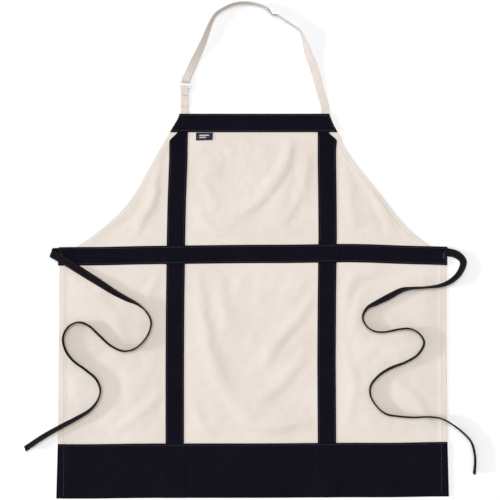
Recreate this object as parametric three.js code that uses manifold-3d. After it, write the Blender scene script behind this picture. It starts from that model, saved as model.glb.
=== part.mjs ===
// A bib apron for an artist: a natural canvas panel with curved armholes, trimmed with dark
// webbing, worn by a neck strap with a ring and a slider and by two waist ties.
// Millimetres. The apron lies on its back: +Z is the front of the cloth, +Y points to the neck.
// The origin is on the back face, at the middle of the waist band.
// Every layer is laid on the one below it with the same small clearance, so where a webbing
// crosses another one it climbs over it and comes down again.
import * as THREE from 'three';
import Module from 'manifold-3d';

const wasm = await Module();
wasm.setup();

// Cloth and clearances
const CLEARANCE = 0.3;
const CLOTH = 1.0; // canvas, facing and narrow tape
const WEBBING = 1.5; // wide webbing
const HEM_LAYERS = 3; // a double turned hem
const SLOPE = 10; // run over which a layer climbs onto another
const THREAD = 0.4;
const THREAD_WIDTH = 0.8;

// Canvas panel
const SIDE_HALF_WIDTH = 396; // at the waist
const SKIRT_FLARE = 6; // each side, from the waist to the bottom edge
const HEM_HALF_WIDTH = SIDE_HALF_WIDTH + SKIRT_FLARE;
const SIDE_HEM = 14;
const ARMHOLE_FACING = 12;
const ARMHOLE_STEPS = 16;

// Bands
const BAND_HEIGHT = 38; // webbing width of the bib and waist bands and of the straps
const BIB_BOTTOM = 250.5; // above the middle of the waist band
const BIB_TOP = BIB_BOTTOM + BAND_HEIGHT;
const BIB_TOP_HALF_WIDTH = 157;
const BIB_BOTTOM_HALF_WIDTH = 170.5;
const BIB_SEAM_ALLOWANCE = 12; // canvas stops this far below the top edge of the bib band
const BAND_OVERHANG = 2.5; // bands stand past the canvas sides
const WAIST_ARCH = 3.5; // the waist band is this much lower at its ends
const HEM_BAND_HEIGHT = 112;
const HEM_BOTTOM = -498.5;
const HEM_TOP = HEM_BOTTOM + HEM_BAND_HEIGHT;
const HEM_TURN_UP = 30; // height of the hem band's back layer
const STRAP_X = 154; // middle of each front strap
const SEAM_INSET = 3.5; // stitch line to webbing edge

// Label, a folded tab under the bib band
const LABEL_X = -98.5;
const LABEL_WIDTH = 35;
const LABEL_HEIGHT = 17;
const LABEL = 0.8;

// Narrow tapes
const NECK_WIDTH = 17;
const TIE_WIDTH = 16.5;
const TIE_SEWN = 20; // length of tie under the waist band
const TAB_X = -139;
const STRAP_END_X = 149;
const RING_WIRE = 2.4;
const RING_INNER_LENGTH = NECK_WIDTH + 1.5;
const RING_OUTER_HEIGHT = 15;
const RING_Y = 342.5; // middle of the lower bar
const RING_TILT = THREE.MathUtils.degToRad(-8);
const RING_PLAY = 1.3; // slack of the strap loop over the ring's upper bar
const SLIDER_BAR = 2;
const SLIDER_LENGTH = 20;
const SLIDER_OFFSET = 14; // along the straight stretch, from its start
const TAPE_STEP = 9;

const BARTACK_LENGTH = 12;
const BARTACK_DEPTH = 2;
const BARTACK_FROM_RING = 16;
const BARTACK_FROM_BAR = 15;

// Derived heights
const STEP_UP = CLOTH + CLEARANCE;
const PANEL_TOP = CLOTH;
const LIFTED_TOP = STEP_UP + CLOTH; // canvas over a back layer
const SIDE_HEM_TOP = CLOTH * HEM_LAYERS;
const STRAP_LOW = PANEL_TOP + CLEARANCE;
const STRAP_TOP = STRAP_LOW + WEBBING;
const AXIS_Z = STEP_UP + CLOTH / 2;
const AXIS_Y = BIB_TOP + CLEARANCE + CLOTH / 2;
const FACING_START = BAND_HEIGHT / 2 + SLOPE;

const colours = {
  canvas: 0xe9e0d7, navy: 0x17171f, tape: 0xe2dcd4, tie: 0x222027, metal: 0xb9bbbe,
  thread: 0xd9d3c8, label: 0x1c2032,
};

function clothMaterial(colour, roughness = 0.9) {
  return new THREE.MeshStandardMaterial({ color: colour, roughness, metalness: 0 });
}

const canvasMaterial = () => clothMaterial(colours.canvas);
const webbingMaterial = () => clothMaterial(colours.navy, 0.85);
const tapeMaterial = () => clothMaterial(colours.tape);
const tieMaterial = () => clothMaterial(colours.tie, 0.85);
const threadMaterial = () => clothMaterial(colours.thread, 0.7);
const labelMaterial = () => clothMaterial(colours.label, 0.6);

function metalMaterial() {
  return new THREE.MeshStandardMaterial({ color: colours.metal, roughness: 0.25, metalness: 1 });
}

const apron = new THREE.Group();

function addPiece(name, geometry, material) {
  const mesh = new THREE.Mesh(geometry, material);
  mesh.name = name;
  apron.add(mesh);
  return mesh;
}

// ---- closed solids from points and triangles ----

function signedVolume(points, triangles) {
  let total = 0;
  for (const [a, b, c] of triangles) {
    const [p, q, r] = [points[a], points[b], points[c]];
    total += p[0] * (q[1] * r[2] - q[2] * r[1]);
    total += p[1] * (q[2] * r[0] - q[0] * r[2]);
    total += p[2] * (q[0] * r[1] - q[1] * r[0]);
  }
  return total / 6;
}

function closedSolid(points, triangles) {
  const outward = signedVolume(points, triangles) > 0;
  const order = triangles.map(([a, b, c]) => (outward ? [a, b, c] : [a, c, b]));
  const geometry = new THREE.BufferGeometry();
  geometry.setAttribute('position', new THREE.Float32BufferAttribute(points.flat(), 3));
  geometry.setIndex(order.flat());
  geometry.computeVertexNormals();
  return geometry;
}

// Cloth between a low and a high height at each point of a grid: rows of {x, y, low, high}.
function sheetSolid(rows) {
  const columns = rows[0].length;
  const points = [];
  rows.flat().forEach(({ x, y, low, high }) => points.push([x, y, low], [x, y, high]));
  const at = (row, column, top) => 2 * (row * columns + column) + top;
  const triangles = [];
  const quad = (a, b, c, d) => triangles.push([a, b, c], [a, c, d]);
  for (let r = 0; r < rows.length - 1; r++) {
    for (let c = 0; c < columns - 1; c++) {
      quad(at(r, c, 1), at(r, c + 1, 1), at(r + 1, c + 1, 1), at(r + 1, c, 1));
      quad(at(r, c, 0), at(r + 1, c, 0), at(r + 1, c + 1, 0), at(r, c + 1, 0));
    }
    quad(at(r, 0, 0), at(r, 0, 1), at(r + 1, 0, 1), at(r + 1, 0, 0));
    quad(at(r, columns - 1, 1), at(r, columns - 1, 0), at(r + 1, columns - 1, 0),
      at(r + 1, columns - 1, 1));
  }
  const last = rows.length - 1;
  for (let c = 0; c < columns - 1; c++) {
    quad(at(0, c, 0), at(0, c + 1, 0), at(0, c + 1, 1), at(0, c, 1));
    quad(at(last, c, 1), at(last, c + 1, 1), at(last, c + 1, 0), at(last, c, 0));
  }
  return closedSolid(points, triangles);
}

function capTriangles(section) {
  const flat = section.map(([, y, z]) => new THREE.Vector2(y, z));
  const turn = Math.sign(THREE.ShapeUtils.area(flat));
  return THREE.ShapeUtils.triangulateShape(flat, []).map(([a, b, c]) => {
    const sameTurn = Math.sign(THREE.ShapeUtils.area([flat[a], flat[b], flat[c]])) === turn;
    return sameTurn ? [a, b, c] : [a, c, b];
  });
}

// A solid through a list of sections with the same number of corners.
function sweptSolid(sections, { loop = false, cap = null } = {}) {
  const corners = sections[0].length;
  const points = sections.flat();
  const triangles = [];
  const spans = loop ? sections.length : sections.length - 1;
  for (let s = 0; s < spans; s++) {
    const here = s * corners;
    const next = ((s + 1) % sections.length) * corners;
    for (let k = 0; k < corners; k++) {
      const after = (k + 1) % corners;
      triangles.push([here + k, here + after, next + after], [here + k, next + after, next + k]);
    }
  }
  if (!loop) {
    const lid = cap ?? [[0, 1, 2], [0, 2, 3]];
    const end = (sections.length - 1) * corners;
    lid.forEach(([a, b, c]) => triangles.push([a, c, b], [end + a, end + b, end + c]));
  }
  return closedSolid(points, triangles);
}

// ---- canvas panel ----

function armholeCurve() {
  const top = new THREE.Vector2(BIB_BOTTOM_HALF_WIDTH, BIB_BOTTOM);
  const side = new THREE.Vector2(SIDE_HALF_WIDTH, 0);
  const fall = BIB_BOTTOM * 0.39;
  const reach = (SIDE_HALF_WIDTH - BIB_BOTTOM_HALF_WIDTH) * 0.425;
  const upper = new THREE.Vector2(top.x + fall * 0.55, top.y - fall);
  const lower = new THREE.Vector2(side.x - reach, side.y + reach * 0.42);
  return new THREE.CubicBezierCurve(top, upper, lower, side);
}

const armhole = armholeCurve();

function bibHalfWidth(y) {
  const share = (y - BIB_BOTTOM) / (BIB_TOP - BIB_BOTTOM);
  return THREE.MathUtils.lerp(BIB_BOTTOM_HALF_WIDTH, BIB_TOP_HALF_WIDTH, share);
}

function sideHalfWidth(y) {
  return THREE.MathUtils.lerp(SIDE_HALF_WIDTH, HEM_HALF_WIDTH - BAND_OVERHANG, y / HEM_BOTTOM);
}

function armholeParameter(y) {
  let [low, high] = [0, 1];
  for (let halving = 0; halving < 30; halving++) {
    const middle = (low + high) / 2;
    if (armhole.getPoint(middle).y > y) low = middle;
    else high = middle;
  }
  return (low + high) / 2;
}

// Curve parameters of the panel's rows, from the side up to the bib. The facing starts clear of
// the waist band, and the cloth comes up to the bib band's back layer over one slope.
function armholeStations() {
  const aboveBand = armholeParameter(BAND_HEIGHT / 2 + CLEARANCE);
  const facingStart = armholeParameter(FACING_START);
  const belowBib = armholeParameter(BIB_BOTTOM - SLOPE);
  const even = Array.from({ length: ARMHOLE_STEPS }, (_, step) => step / ARMHOLE_STEPS)
    .filter((t) => t > belowBib && t < facingStart);
  return [1, aboveBand, facingStart, ...even.reverse(), belowBib, 0];
}

// Rows of the panel from the bottom edge to the bib: half width, margin, lift of the whole row,
// lift of the margin and number of cloth layers in the margin.
function panelRows() {
  const rows = [];
  const plain = { margin: SIDE_HEM, lift: 0, marginLift: 0, layers: HEM_LAYERS };
  const turnUp = HEM_BOTTOM + HEM_TURN_UP + CLEARANCE;
  const sideRow = (y, lift) => rows.push({ ...plain, y, half: sideHalfWidth(y), lift });
  sideRow(HEM_BOTTOM + CLOTH + CLEARANCE, STEP_UP);
  sideRow(turnUp, STEP_UP);
  sideRow(turnUp + SLOPE, 0);
  sideRow(HEM_TOP, 0);
  sideRow(HEM_TOP / 2, 0);
  sideRow(-BAND_HEIGHT / 2, 0);
  sideRow(-SLOPE, 0);
  for (const t of armholeStations()) {
    const { x, y } = armhole.getPoint(t);
    const along = armhole.getTangent(t);
    const margin = t === 1 ? SIDE_HEM : ARMHOLE_FACING / Math.abs(along.y);
    const lift = t === 0 ? STEP_UP : 0;
    const marginLift = y >= FACING_START - CLEARANCE ? STEP_UP : 0;
    rows.push({ y, half: x, margin, lift, marginLift, layers: 1 });
  }
  const top = BIB_TOP - BIB_SEAM_ALLOWANCE;
  const inBand = rows.at(-1);
  rows.push({ ...inBand, y: top, half: bibHalfWidth(top) });
  return rows;
}

function panelColumn(row, offset, inMargin) {
  const low = Math.max(row.lift, inMargin ? row.marginLift : 0);
  const layers = inMargin ? row.layers : 1;
  return { offset, y: row.y, low, high: low + CLOTH * layers };
}

function canvasPanel() {
  const grid = panelRows().map((row) => {
    const inner = row.half - row.margin;
    const half = [
      panelColumn(row, row.half, true),
      panelColumn(row, inner, true),
      panelColumn(row, inner - SLOPE, false),
      panelColumn(row, (inner - SLOPE) / 2, false),
    ];
    const left = half.map((point) => ({ ...point, x: -point.offset }));
    const right = half.map((point) => ({ ...point, x: point.offset })).reverse();
    return [...left, ...right];
  });
  return sheetSolid(grid);
}

function armholeFacing(side) {
  const faced = panelRows().filter(({ marginLift, lift }) => marginLift > 0 && lift === 0);
  const last = armhole.getPoint(0);
  const end = { y: last.y - CLEARANCE, half: last.x, margin: faced.at(-1).margin };
  const rows = [...faced, end].map(({ y, half, margin }) => [
    { x: side * half, y, low: 0, high: CLOTH },
    { x: side * (half - margin + CLEARANCE), y, low: 0, high: CLOTH },
  ]);
  return sheetSolid(rows);
}

// ---- bands and straps ----

function strapInner() {
  return STRAP_X - BAND_HEIGHT / 2;
}

function strapOuter(y) {
  const edge = y > BIB_BOTTOM ? bibHalfWidth(y) : Infinity;
  return Math.min(STRAP_X + BAND_HEIGHT / 2, edge - CLEARANCE);
}

// Height of a strap's low face above the floor, along the strap.
function strapProfile() {
  const hemTurn = HEM_BOTTOM + HEM_TURN_UP + CLEARANCE;
  const facingUnder = armhole.getPoint(0.32).y;
  return [
    [HEM_BOTTOM + CLOTH + CLEARANCE, STRAP_LOW + STEP_UP],
    [hemTurn, STRAP_LOW + STEP_UP],
    [hemTurn + SLOPE, STRAP_LOW],
    [facingUnder - SLOPE, STRAP_LOW],
    [facingUnder, STRAP_LOW + STEP_UP],
    [BIB_BOTTOM - SLOPE, STRAP_LOW + STEP_UP],
    [BIB_BOTTOM, STRAP_LOW + STEP_UP],
    [BIB_TOP - BIB_SEAM_ALLOWANCE, STRAP_LOW + STEP_UP],
  ];
}

function frontStrap(side) {
  const rows = strapProfile().map(([y, low]) => [
    { x: side * strapInner(), y, low, high: low + WEBBING },
    { x: side * strapOuter(y), y, low, high: low + WEBBING },
  ]);
  return sheetSolid(rows);
}

// Half of a band's height profile over the straps, from the middle outwards.
function overStraps(ground, crossing, end) {
  return [
    [0, ground],
    [strapInner() - SLOPE, ground],
    [strapInner() - CLEARANCE, crossing],
    ...end,
  ];
}

function mirrored(profile) {
  const left = profile.slice(1).reverse().map(([x, low]) => [-x, low]);
  return [...left, ...profile];
}

function bibProfile() {
  const ground = LIFTED_TOP + CLEARANCE;
  const crossing = ground + WEBBING + CLEARANCE;
  return mirrored(overStraps(ground, crossing, [[BIB_TOP_HALF_WIDTH, crossing]]));
}

// A band's plan follows its own slanted ends: only the last column moves with the row.
function bibBand(low, thickness) {
  const rows = [BIB_BOTTOM, BIB_TOP].map((y) => low.map(([x, z]) => {
    const atEnd = Math.abs(x) >= BIB_TOP_HALF_WIDTH;
    return { x: atEnd ? Math.sign(x) * bibHalfWidth(y) : x, y, low: z, high: z + thickness };
  }));
  return sheetSolid(rows);
}

function waistArch(x) {
  return -WAIST_ARCH * (x / SIDE_HALF_WIDTH) ** 2;
}

function waistProfile() {
  const ground = PANEL_TOP + CLEARANCE;
  const crossing = STRAP_TOP + CLEARANCE;
  const overTie = SIDE_HEM_TOP + CLEARANCE + STEP_UP;
  const outside = STRAP_X + BAND_HEIGHT / 2;
  const end = SIDE_HALF_WIDTH + BAND_OVERHANG;
  const tieStart = end - TIE_SEWN - CLEARANCE;
  return mirrored(overStraps(ground, crossing, [
    [outside + CLEARANCE, crossing],
    [outside + SLOPE, ground],
    [(outside + tieStart) / 2, ground],
    [tieStart - SLOPE, ground],
    [tieStart, overTie],
    [end, overTie],
  ]));
}

function waistBand() {
  const rows = [-1, 1].map((edge) => waistProfile().map(([x, low]) => {
    const y = edge * BAND_HEIGHT / 2 + waistArch(x);
    return { x, y, low, high: low + WEBBING };
  }));
  return sheetSolid(rows);
}

function hemProfile() {
  const ground = LIFTED_TOP + CLEARANCE;
  const crossing = ground + WEBBING + CLEARANCE;
  const outside = STRAP_X + BAND_HEIGHT / 2;
  const hemStart = HEM_HALF_WIDTH - BAND_OVERHANG - SIDE_HEM;
  const overHem = STEP_UP + SIDE_HEM_TOP + CLEARANCE;
  return mirrored(overStraps(ground, crossing, [
    [outside + CLEARANCE, crossing],
    [outside + SLOPE, ground],
    [hemStart - 2 * SLOPE, ground],
    [hemStart - SLOPE, overHem],
    [HEM_HALF_WIDTH, overHem],
  ]));
}

// The hem band folds round the bottom edge: a front layer, the fold and a short back layer.
function hemBand() {
  const turn = HEM_BOTTOM + HEM_TURN_UP;
  const inside = HEM_BOTTOM + CLOTH;
  const flare = HEM_HALF_WIDTH - sideHalfWidth(HEM_TOP) - BAND_OVERHANG;
  const endX = (x, y) => x - Math.sign(x) * flare * (y - HEM_BOTTOM) / HEM_BAND_HEIGHT;
  const sections = hemProfile().map(([x, low]) => {
    const corners = [
      [HEM_BOTTOM, 0], [turn, 0], [turn, CLOTH], [inside, CLOTH], [inside, low],
      [HEM_TOP, low], [HEM_TOP, low + CLOTH], [HEM_BOTTOM, low + CLOTH],
    ];
    const atEnd = Math.abs(x) >= HEM_HALF_WIDTH;
    return corners.map(([y, z]) => [atEnd ? endX(x, y) : x, y, z]);
  });
  return sweptSolid(sections, { cap: capTriangles(sections[0]) });
}

// ---- stitch lines: thread lying on the cloth along a list of points ----

function threadRow(points) {
  const sections = points.map(([x, y, z], i) => {
    const [xa, ya] = points[Math.max(i - 1, 0)];
    const [xb, yb] = points[Math.min(i + 1, points.length - 1)];
    const length = Math.hypot(xb - xa, yb - ya);
    const [nx, ny] = [-(yb - ya) / length, (xb - xa) / length];
    const half = THREAD_WIDTH / 2;
    const low = z + CLEARANCE;
    return [
      [x + nx * half, y + ny * half, low], [x - nx * half, y - ny * half, low],
      [x - nx * half, y - ny * half, low + THREAD], [x + nx * half, y + ny * half, low + THREAD],
    ];
  });
  return sweptSolid(sections);
}

function bandThread(profile, y, thickness, end) {
  return threadRow(profile.map(([x, low]) => {
    const clipped = THREE.MathUtils.clamp(x, -end, end);
    return [clipped, y(clipped), low + thickness];
  }));
}

function strapThread(side, x, from, to) {
  const inside = strapProfile().filter(([y]) => y > from && y < to);
  const heightAt = (y) => {
    const profile = strapProfile();
    const next = profile.findIndex(([end]) => end >= y);
    const [y0, z0] = profile[next - 1];
    const [y1, z1] = profile[next];
    return THREE.MathUtils.mapLinear(y, y0, y1, z0, z1);
  };
  const ys = [from, ...inside.map(([y]) => y), to];
  return threadRow(ys.map((y) => [side * x, y, heightAt(y) + WEBBING]));
}

function sideHemThread(side) {
  const from = HEM_TOP + CLEARANCE;
  const to = -BAND_HEIGHT / 2 - WAIST_ARCH - CLEARANCE;
  const points = [from, to].map((y) => {
    const x = sideHalfWidth(y) - SIDE_HEM + SEAM_INSET;
    return [side * x, y, SIDE_HEM_TOP];
  });
  return threadRow(points);
}

function armholeThread(side) {
  const clearOfStrap = STRAP_X + BAND_HEIGHT / 2 + CLEARANCE + THREAD_WIDTH;
  const faced = panelRows().filter(({ marginLift, lift }) => marginLift > 0 && lift === 0);
  const points = faced.map(({ y, half, margin }) => [
    side * (half - margin + SEAM_INSET), y, LIFTED_TOP,
  ]);
  return threadRow(points.filter(([x]) => Math.abs(x) > clearOfStrap));
}

// ---- tapes: a flat ribbon along a route ----

const ON_FLOOR = 0;

// A route point is [x, y, height of what it lies on, lean in degrees, azimuth of the width].
// Lean 0 is flat and 90 is on edge. The azimuth is given only where the tape folds over.
function routeFrames(route, width, step = TAPE_STEP) {
  const lowest = route.map(([x, y, ground]) => new THREE.Vector3(x, y, ground));
  const across = route.map(([, , , lean, azimuth], i) => {
    const from = lowest[Math.max(i - 1, 0)];
    const to = lowest[Math.min(i + 1, lowest.length - 1)];
    const heading = Math.atan2(to.y - from.y, to.x - from.x) + Math.PI / 2;
    const side = azimuth === undefined ? heading : THREE.MathUtils.degToRad(azimuth);
    const angle = THREE.MathUtils.degToRad(lean);
    return new THREE.Vector3(
      Math.cos(side) * Math.cos(angle), Math.sin(side) * Math.cos(angle), Math.sin(angle));
  });
  const curve = new THREE.CatmullRomCurve3(lowest, false, 'centripetal');
  const spans = lowest.length - 1;
  const frames = [];
  for (let i = 0; i < spans; i++) {
    const pieces = Math.max(1, Math.round(lowest[i].distanceTo(lowest[i + 1]) / step));
    for (let k = 0; k < pieces; k++) {
      const share = k / pieces;
      const t = (i + share) / spans;
      frames.push({
        at: curve.getPoint(t), along: curve.getTangent(t),
        across: across[i].clone().lerp(across[i + 1], share).normalize(),
      });
    }
  }
  frames.push({ at: lowest.at(-1), along: curve.getTangent(1), across: across.at(-1) });
  return frames.map(({ at, along, across: towards }) => {
    const face = along.clone().cross(towards).normalize();
    const wide = face.clone().cross(along).normalize();
    const rise = Math.abs(wide.z) * width / 2 + Math.abs(face.z) * CLOTH / 2;
    return { at: at.clone().setZ(Math.max(at.z, ON_FLOOR) + rise), face, wide };
  });
}

function tapeSolid(frames, width, thickness = CLOTH) {
  const sections = frames.map(({ at, wide, face }) => {
    const corner = (w, f) => at.clone().addScaledVector(wide, w * width / 2)
      .addScaledVector(face, f * thickness / 2).toArray();
    return [corner(1, 1), corner(-1, 1), corner(-1, -1), corner(1, -1)];
  });
  return sweptSolid(sections);
}

// ---- waist ties ----

const ON_CANVAS = 3.5; // the canvas ripples softly under the tie
const ON_HEM = 4;
const TIE_Z = SIDE_HEM_TOP + CLEARANCE;
const BAND_END_TOP = TIE_Z + STEP_UP + WEBBING;
const TIE_ROUTE_SIDE = 396; // the side edge that both routes are laid out from

const LEFT_TIE = [
  [-379, 5, TIE_Z, 0, 90], [-392, 5, TIE_Z, 0, 90], [-401, 5.5, TIE_Z, 0, 88],
  [-408, 5, 4, 0, 80], [-411.5, 3.2, 6.6, 0, 74], [-408, 0.6, 8.8, 0, 66],
  [-399, -4.5, 8.4, 0, 60], [-386, -12, 7.6, 4, 60], [-371, -21, 7, 8, 60],
  [-361, -27.5, 6, 12, 60], [-340, -41, ON_HEM, 16], [-313, -57.5, ON_CANVAS, 25],
  [-284, -76, ON_CANVAS, 40], [-256, -91, ON_CANVAS, 56], [-235, -101, ON_CANVAS, 75],
  [-217, -116, ON_CANVAS, 88], [-207, -138, ON_CANVAS, 90], [-215, -166, ON_CANVAS, 90],
  [-239, -191, ON_CANVAS, 90], [-262, -197, ON_CANVAS, 90], [-288, -187, ON_CANVAS, 90],
  [-312, -166, ON_CANVAS, 90], [-335, -145, ON_CANVAS, 90], [-356, -138, ON_CANVAS, 90],
  [-376, -147, ON_HEM, 90], [-387, -169, ON_HEM, 90], [-383, -193, ON_HEM, 90],
  [-368, -215, ON_CANVAS, 90], [-340, -236, ON_CANVAS, 90], [-319, -255, ON_CANVAS, 90],
  [-311, -277, ON_CANVAS, 88], [-317, -298, ON_CANVAS, 84], [-332, -317, ON_CANVAS, 76],
  [-361, -335, ON_CANVAS, 68], [-391, -351, ON_HEM, 62], [-431, -374, ON_FLOOR, 58],
  [-465.5, -397.5, ON_FLOOR, 54],
];

const RIGHT_TIE = [
  [379, 5.5, TIE_Z, 0, 90], [392, 5.5, TIE_Z, 0, 90], [402, 4.5, TIE_Z, 0, 85],
  [418, 0, 1.5, 14], [431, -14, ON_FLOOR, 40], [424, -36, 1, 54], [406, -53.5, 3.6, 60],
  [384, -63, ON_HEM, 72], [353, -67, ON_CANVAS, 84], [325, -68.5, ON_CANVAS, 80],
  [305, -72, ON_CANVAS, 62], [280, -85, ON_CANVAS, 48], [254, -98, ON_CANVAS, 60],
  [234, -109, ON_CANVAS, 80], [225, -127, ON_CANVAS, 90], [232, -145, ON_CANVAS, 90],
  [248, -156, ON_CANVAS, 90], [268, -158, ON_CANVAS, 90], [300, -152, ON_CANVAS, 90],
  [320, -151, ON_CANVAS, 90], [339, -160, ON_CANVAS, 90], [350, -179, ON_CANVAS, 90],
  [338, -203, ON_CANVAS, 90], [314, -218.5, ON_CANVAS, 88], [280, -232, ON_CANVAS, 84],
  [256, -248, ON_CANVAS, 88], [241, -268, ON_CANVAS, 90], [241, -288, ON_CANVAS, 90],
  [253, -309, ON_CANVAS, 90], [272, -325, ON_CANVAS, 90], [298, -330, ON_CANVAS, 88],
  [330, -332, ON_CANVAS, 86], [359, -331, ON_CANVAS, 86], [386, -335, ON_HEM, 86],
  [406, -345.5, 3.6, 86], [430, -364, ON_FLOOR, 86], [447, -383, ON_FLOOR, 88],
  [454, -407, ON_FLOOR, 90], [455, -428, ON_FLOOR, 90], [453, -449, ON_FLOOR, 88],
];

// A tie comes out of the end of the waist band, so its whole route moves with the side edge.
function fromSideEdge(route) {
  const moved = SIDE_HALF_WIDTH - TIE_ROUTE_SIDE;
  return route.map(([x, ...rest]) => [x + Math.sign(x) * moved, ...rest]);
}

function waistTie(route) {
  return tapeSolid(routeFrames(fromSideEdge(route), TIE_WIDTH), TIE_WIDTH);
}

// ---- neck loop ----

const SLIDER_RAIL = CLEARANCE + SLIDER_BAR; // the slider stands on this much metal
const NECK_STRAP = [
  [-130.8, 371, 0, 12], [-118, 399, 0, 28], [-101, 436.5, 0, 50], [-85, 477, 0, 72],
  [-75, 493, 0, 80], [-59, 504.5, 0, 86], [-42, 512.5, 0.5, 90], [-25, 516, 1, 90],
  [-6, 515.5, 1.6, 90], [11, 511.5, 2, 90], [26.5, 505.8, SLIDER_RAIL, 90],
  [31.5, 502.5, SLIDER_RAIL, 90], [63.2, 481.5, SLIDER_RAIL, 90],
  [91.5, 462.8, SLIDER_RAIL, 90], [96.5, 459.5, SLIDER_RAIL, 90], [104.5, 439, 1, 66],
  [114, 411, 0.2, 34], [127, 378, 0, 12], [141, 328, 0, 4], [147, 308, 0, 0],
  [STRAP_END_X, 297, 0.6, 0, 0], [STRAP_END_X, AXIS_Y, STEP_UP, 0, 0],
];
const RING_HALF_HEIGHT = (RING_OUTER_HEIGHT - RING_WIRE) / 2;
const LAYER = CLOTH + CLEARANCE; // one tape lying on another
const BAR_CLEAR = RING_WIRE / 2 + CLEARANCE + CLOTH / 2;
const BAR_Z = CLOTH + CLEARANCE + RING_WIRE / 2;

function ringBar(end) {
  const from = new THREE.Vector3(TAB_X, RING_Y, BAR_Z);
  const up = new THREE.Vector3(-Math.sin(RING_TILT), Math.cos(RING_TILT), 0);
  return from.addScaledVector(up, end * 2 * RING_HALF_HEIGHT);
}

function neckRing() {
  const halfLength = (RING_INNER_LENGTH + RING_WIRE) / 2;
  const corner = RING_WIRE;
  const arcSteps = 4;
  const sides = 10;
  const sections = [];
  for (let quarter = 0; quarter < 4; quarter++) {
    const sx = [1, -1, -1, 1][quarter];
    const sy = [1, 1, -1, -1][quarter];
    for (let step = 0; step <= arcSteps; step++) {
      const angle = (quarter + step / arcSteps) * Math.PI / 2;
      const out = new THREE.Vector3(Math.cos(angle), Math.sin(angle), 0);
      const centre = new THREE.Vector3(sx * (halfLength - corner),
        sy * (RING_HALF_HEIGHT - corner), 0).addScaledVector(out, corner);
      const section = [];
      for (let k = 0; k < sides; k++) {
        const turn = k / sides * 2 * Math.PI;
        const point = centre.clone().addScaledVector(out, RING_WIRE / 2 * Math.cos(turn));
        section.push([point.x, point.y, RING_WIRE / 2 * Math.sin(turn)]);
      }
      sections.push(section);
    }
  }
  return sweptSolid(sections, { loop: true });
}

// The tab comes out of the bib band, goes round the ring's lower bar and back over itself.
function neckTab() {
  const slack = Math.abs(Math.sin(RING_TILT)) * NECK_WIDTH / 2 + CLEARANCE;
  const bend = RING_Y + slack;
  const path = [
    [AXIS_Y, AXIS_Z], [AXIS_Y + 4, CLOTH], [AXIS_Y + 9, CLOTH / 2], [RING_Y - 10, CLOTH / 2],
    [bend, CLOTH / 2],
  ];
  for (let step = 1; step < 8; step++) {
    const angle = -Math.PI / 2 + step / 8 * Math.PI;
    path.push([bend + BAR_CLEAR * Math.cos(angle), BAR_Z + BAR_CLEAR * Math.sin(angle)]);
  }
  path.push([bend, BAR_Z + BAR_CLEAR], [RING_Y - 4, BAR_Z + BAR_CLEAR - 0.3],
    [RING_Y - 12, CLOTH / 2 + LAYER], [AXIS_Y + 14, CLOTH / 2 + LAYER]);
  return tapeSolid(pathFrames(path.map(([y, z]) => new THREE.Vector3(TAB_X, y, z)),
    new THREE.Vector3(-1, 0, 0)), NECK_WIDTH);
}

// Frames along a chain of straight stretches, all with the same width direction.
function pathFrames(points, wide) {
  return points.map((at, i) => {
    const into = at.clone().sub(points[Math.max(i - 1, 0)]).normalize();
    const out = points[Math.min(i + 1, points.length - 1)].clone().sub(at).normalize();
    const along = into.add(out).normalize();
    return { at, wide, face: along.clone().cross(wide).normalize() };
  });
}

// Half a turn of strap round the ring's upper bar, from above it to below it.
function ringTurn() {
  const bar = ringBar(1);
  const inward = new THREE.Vector3(Math.sin(RING_TILT), -Math.cos(RING_TILT), 0);
  const radius = BAR_CLEAR + RING_PLAY / 2;
  const centre = bar.clone().setZ(CLOTH / 2 + radius);
  const points = [];
  for (let step = 0; step <= 8; step++) {
    const angle = Math.PI / 2 - step / 8 * Math.PI;
    const point = centre.clone().addScaledVector(inward, radius * Math.cos(angle));
    point.z += radius * Math.sin(angle);
    points.push(point);
  }
  const wide = new THREE.Vector3(-Math.cos(RING_TILT), -Math.sin(RING_TILT), 0);
  return { points, frames: pathFrames(points, wide), inward, wide, radius };
}

function neckStrap() {
  const { frames } = ringTurn();
  return tapeSolid([...frames, ...routeFrames(NECK_STRAP, NECK_WIDTH)], NECK_WIDTH);
}

// The slider runs on the straight stretch between these two points of the route.
function straightStart() {
  const [start, end] = [NECK_STRAP[11], NECK_STRAP[13]];
  const from = new THREE.Vector3(start[0], start[1], 0);
  const along = new THREE.Vector3(end[0] - start[0], end[1] - start[1], 0).normalize();
  return { from, along };
}

function sliderFrame() {
  const { from, along } = straightStart();
  const centre = from.clone().addScaledVector(along, SLIDER_OFFSET);
  centre.z = SLIDER_RAIL + NECK_WIDTH / 2;
  const wide = new THREE.Vector3(0, 0, 1);
  return { centre, along, wide, inside: along.clone().cross(wide) };
}

const SLIDER_LOOP = SLIDER_BAR / 2 + CLEARANCE + CLOTH / 2; // tape round the middle bar
const SLIDER_MIDDLE = LAYER + SLIDER_LOOP; // middle bar to the strap's middle plane
const SLIDER_ENDS = -(CLOTH / 2 + CLEARANCE + SLIDER_BAR / 2);

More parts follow.
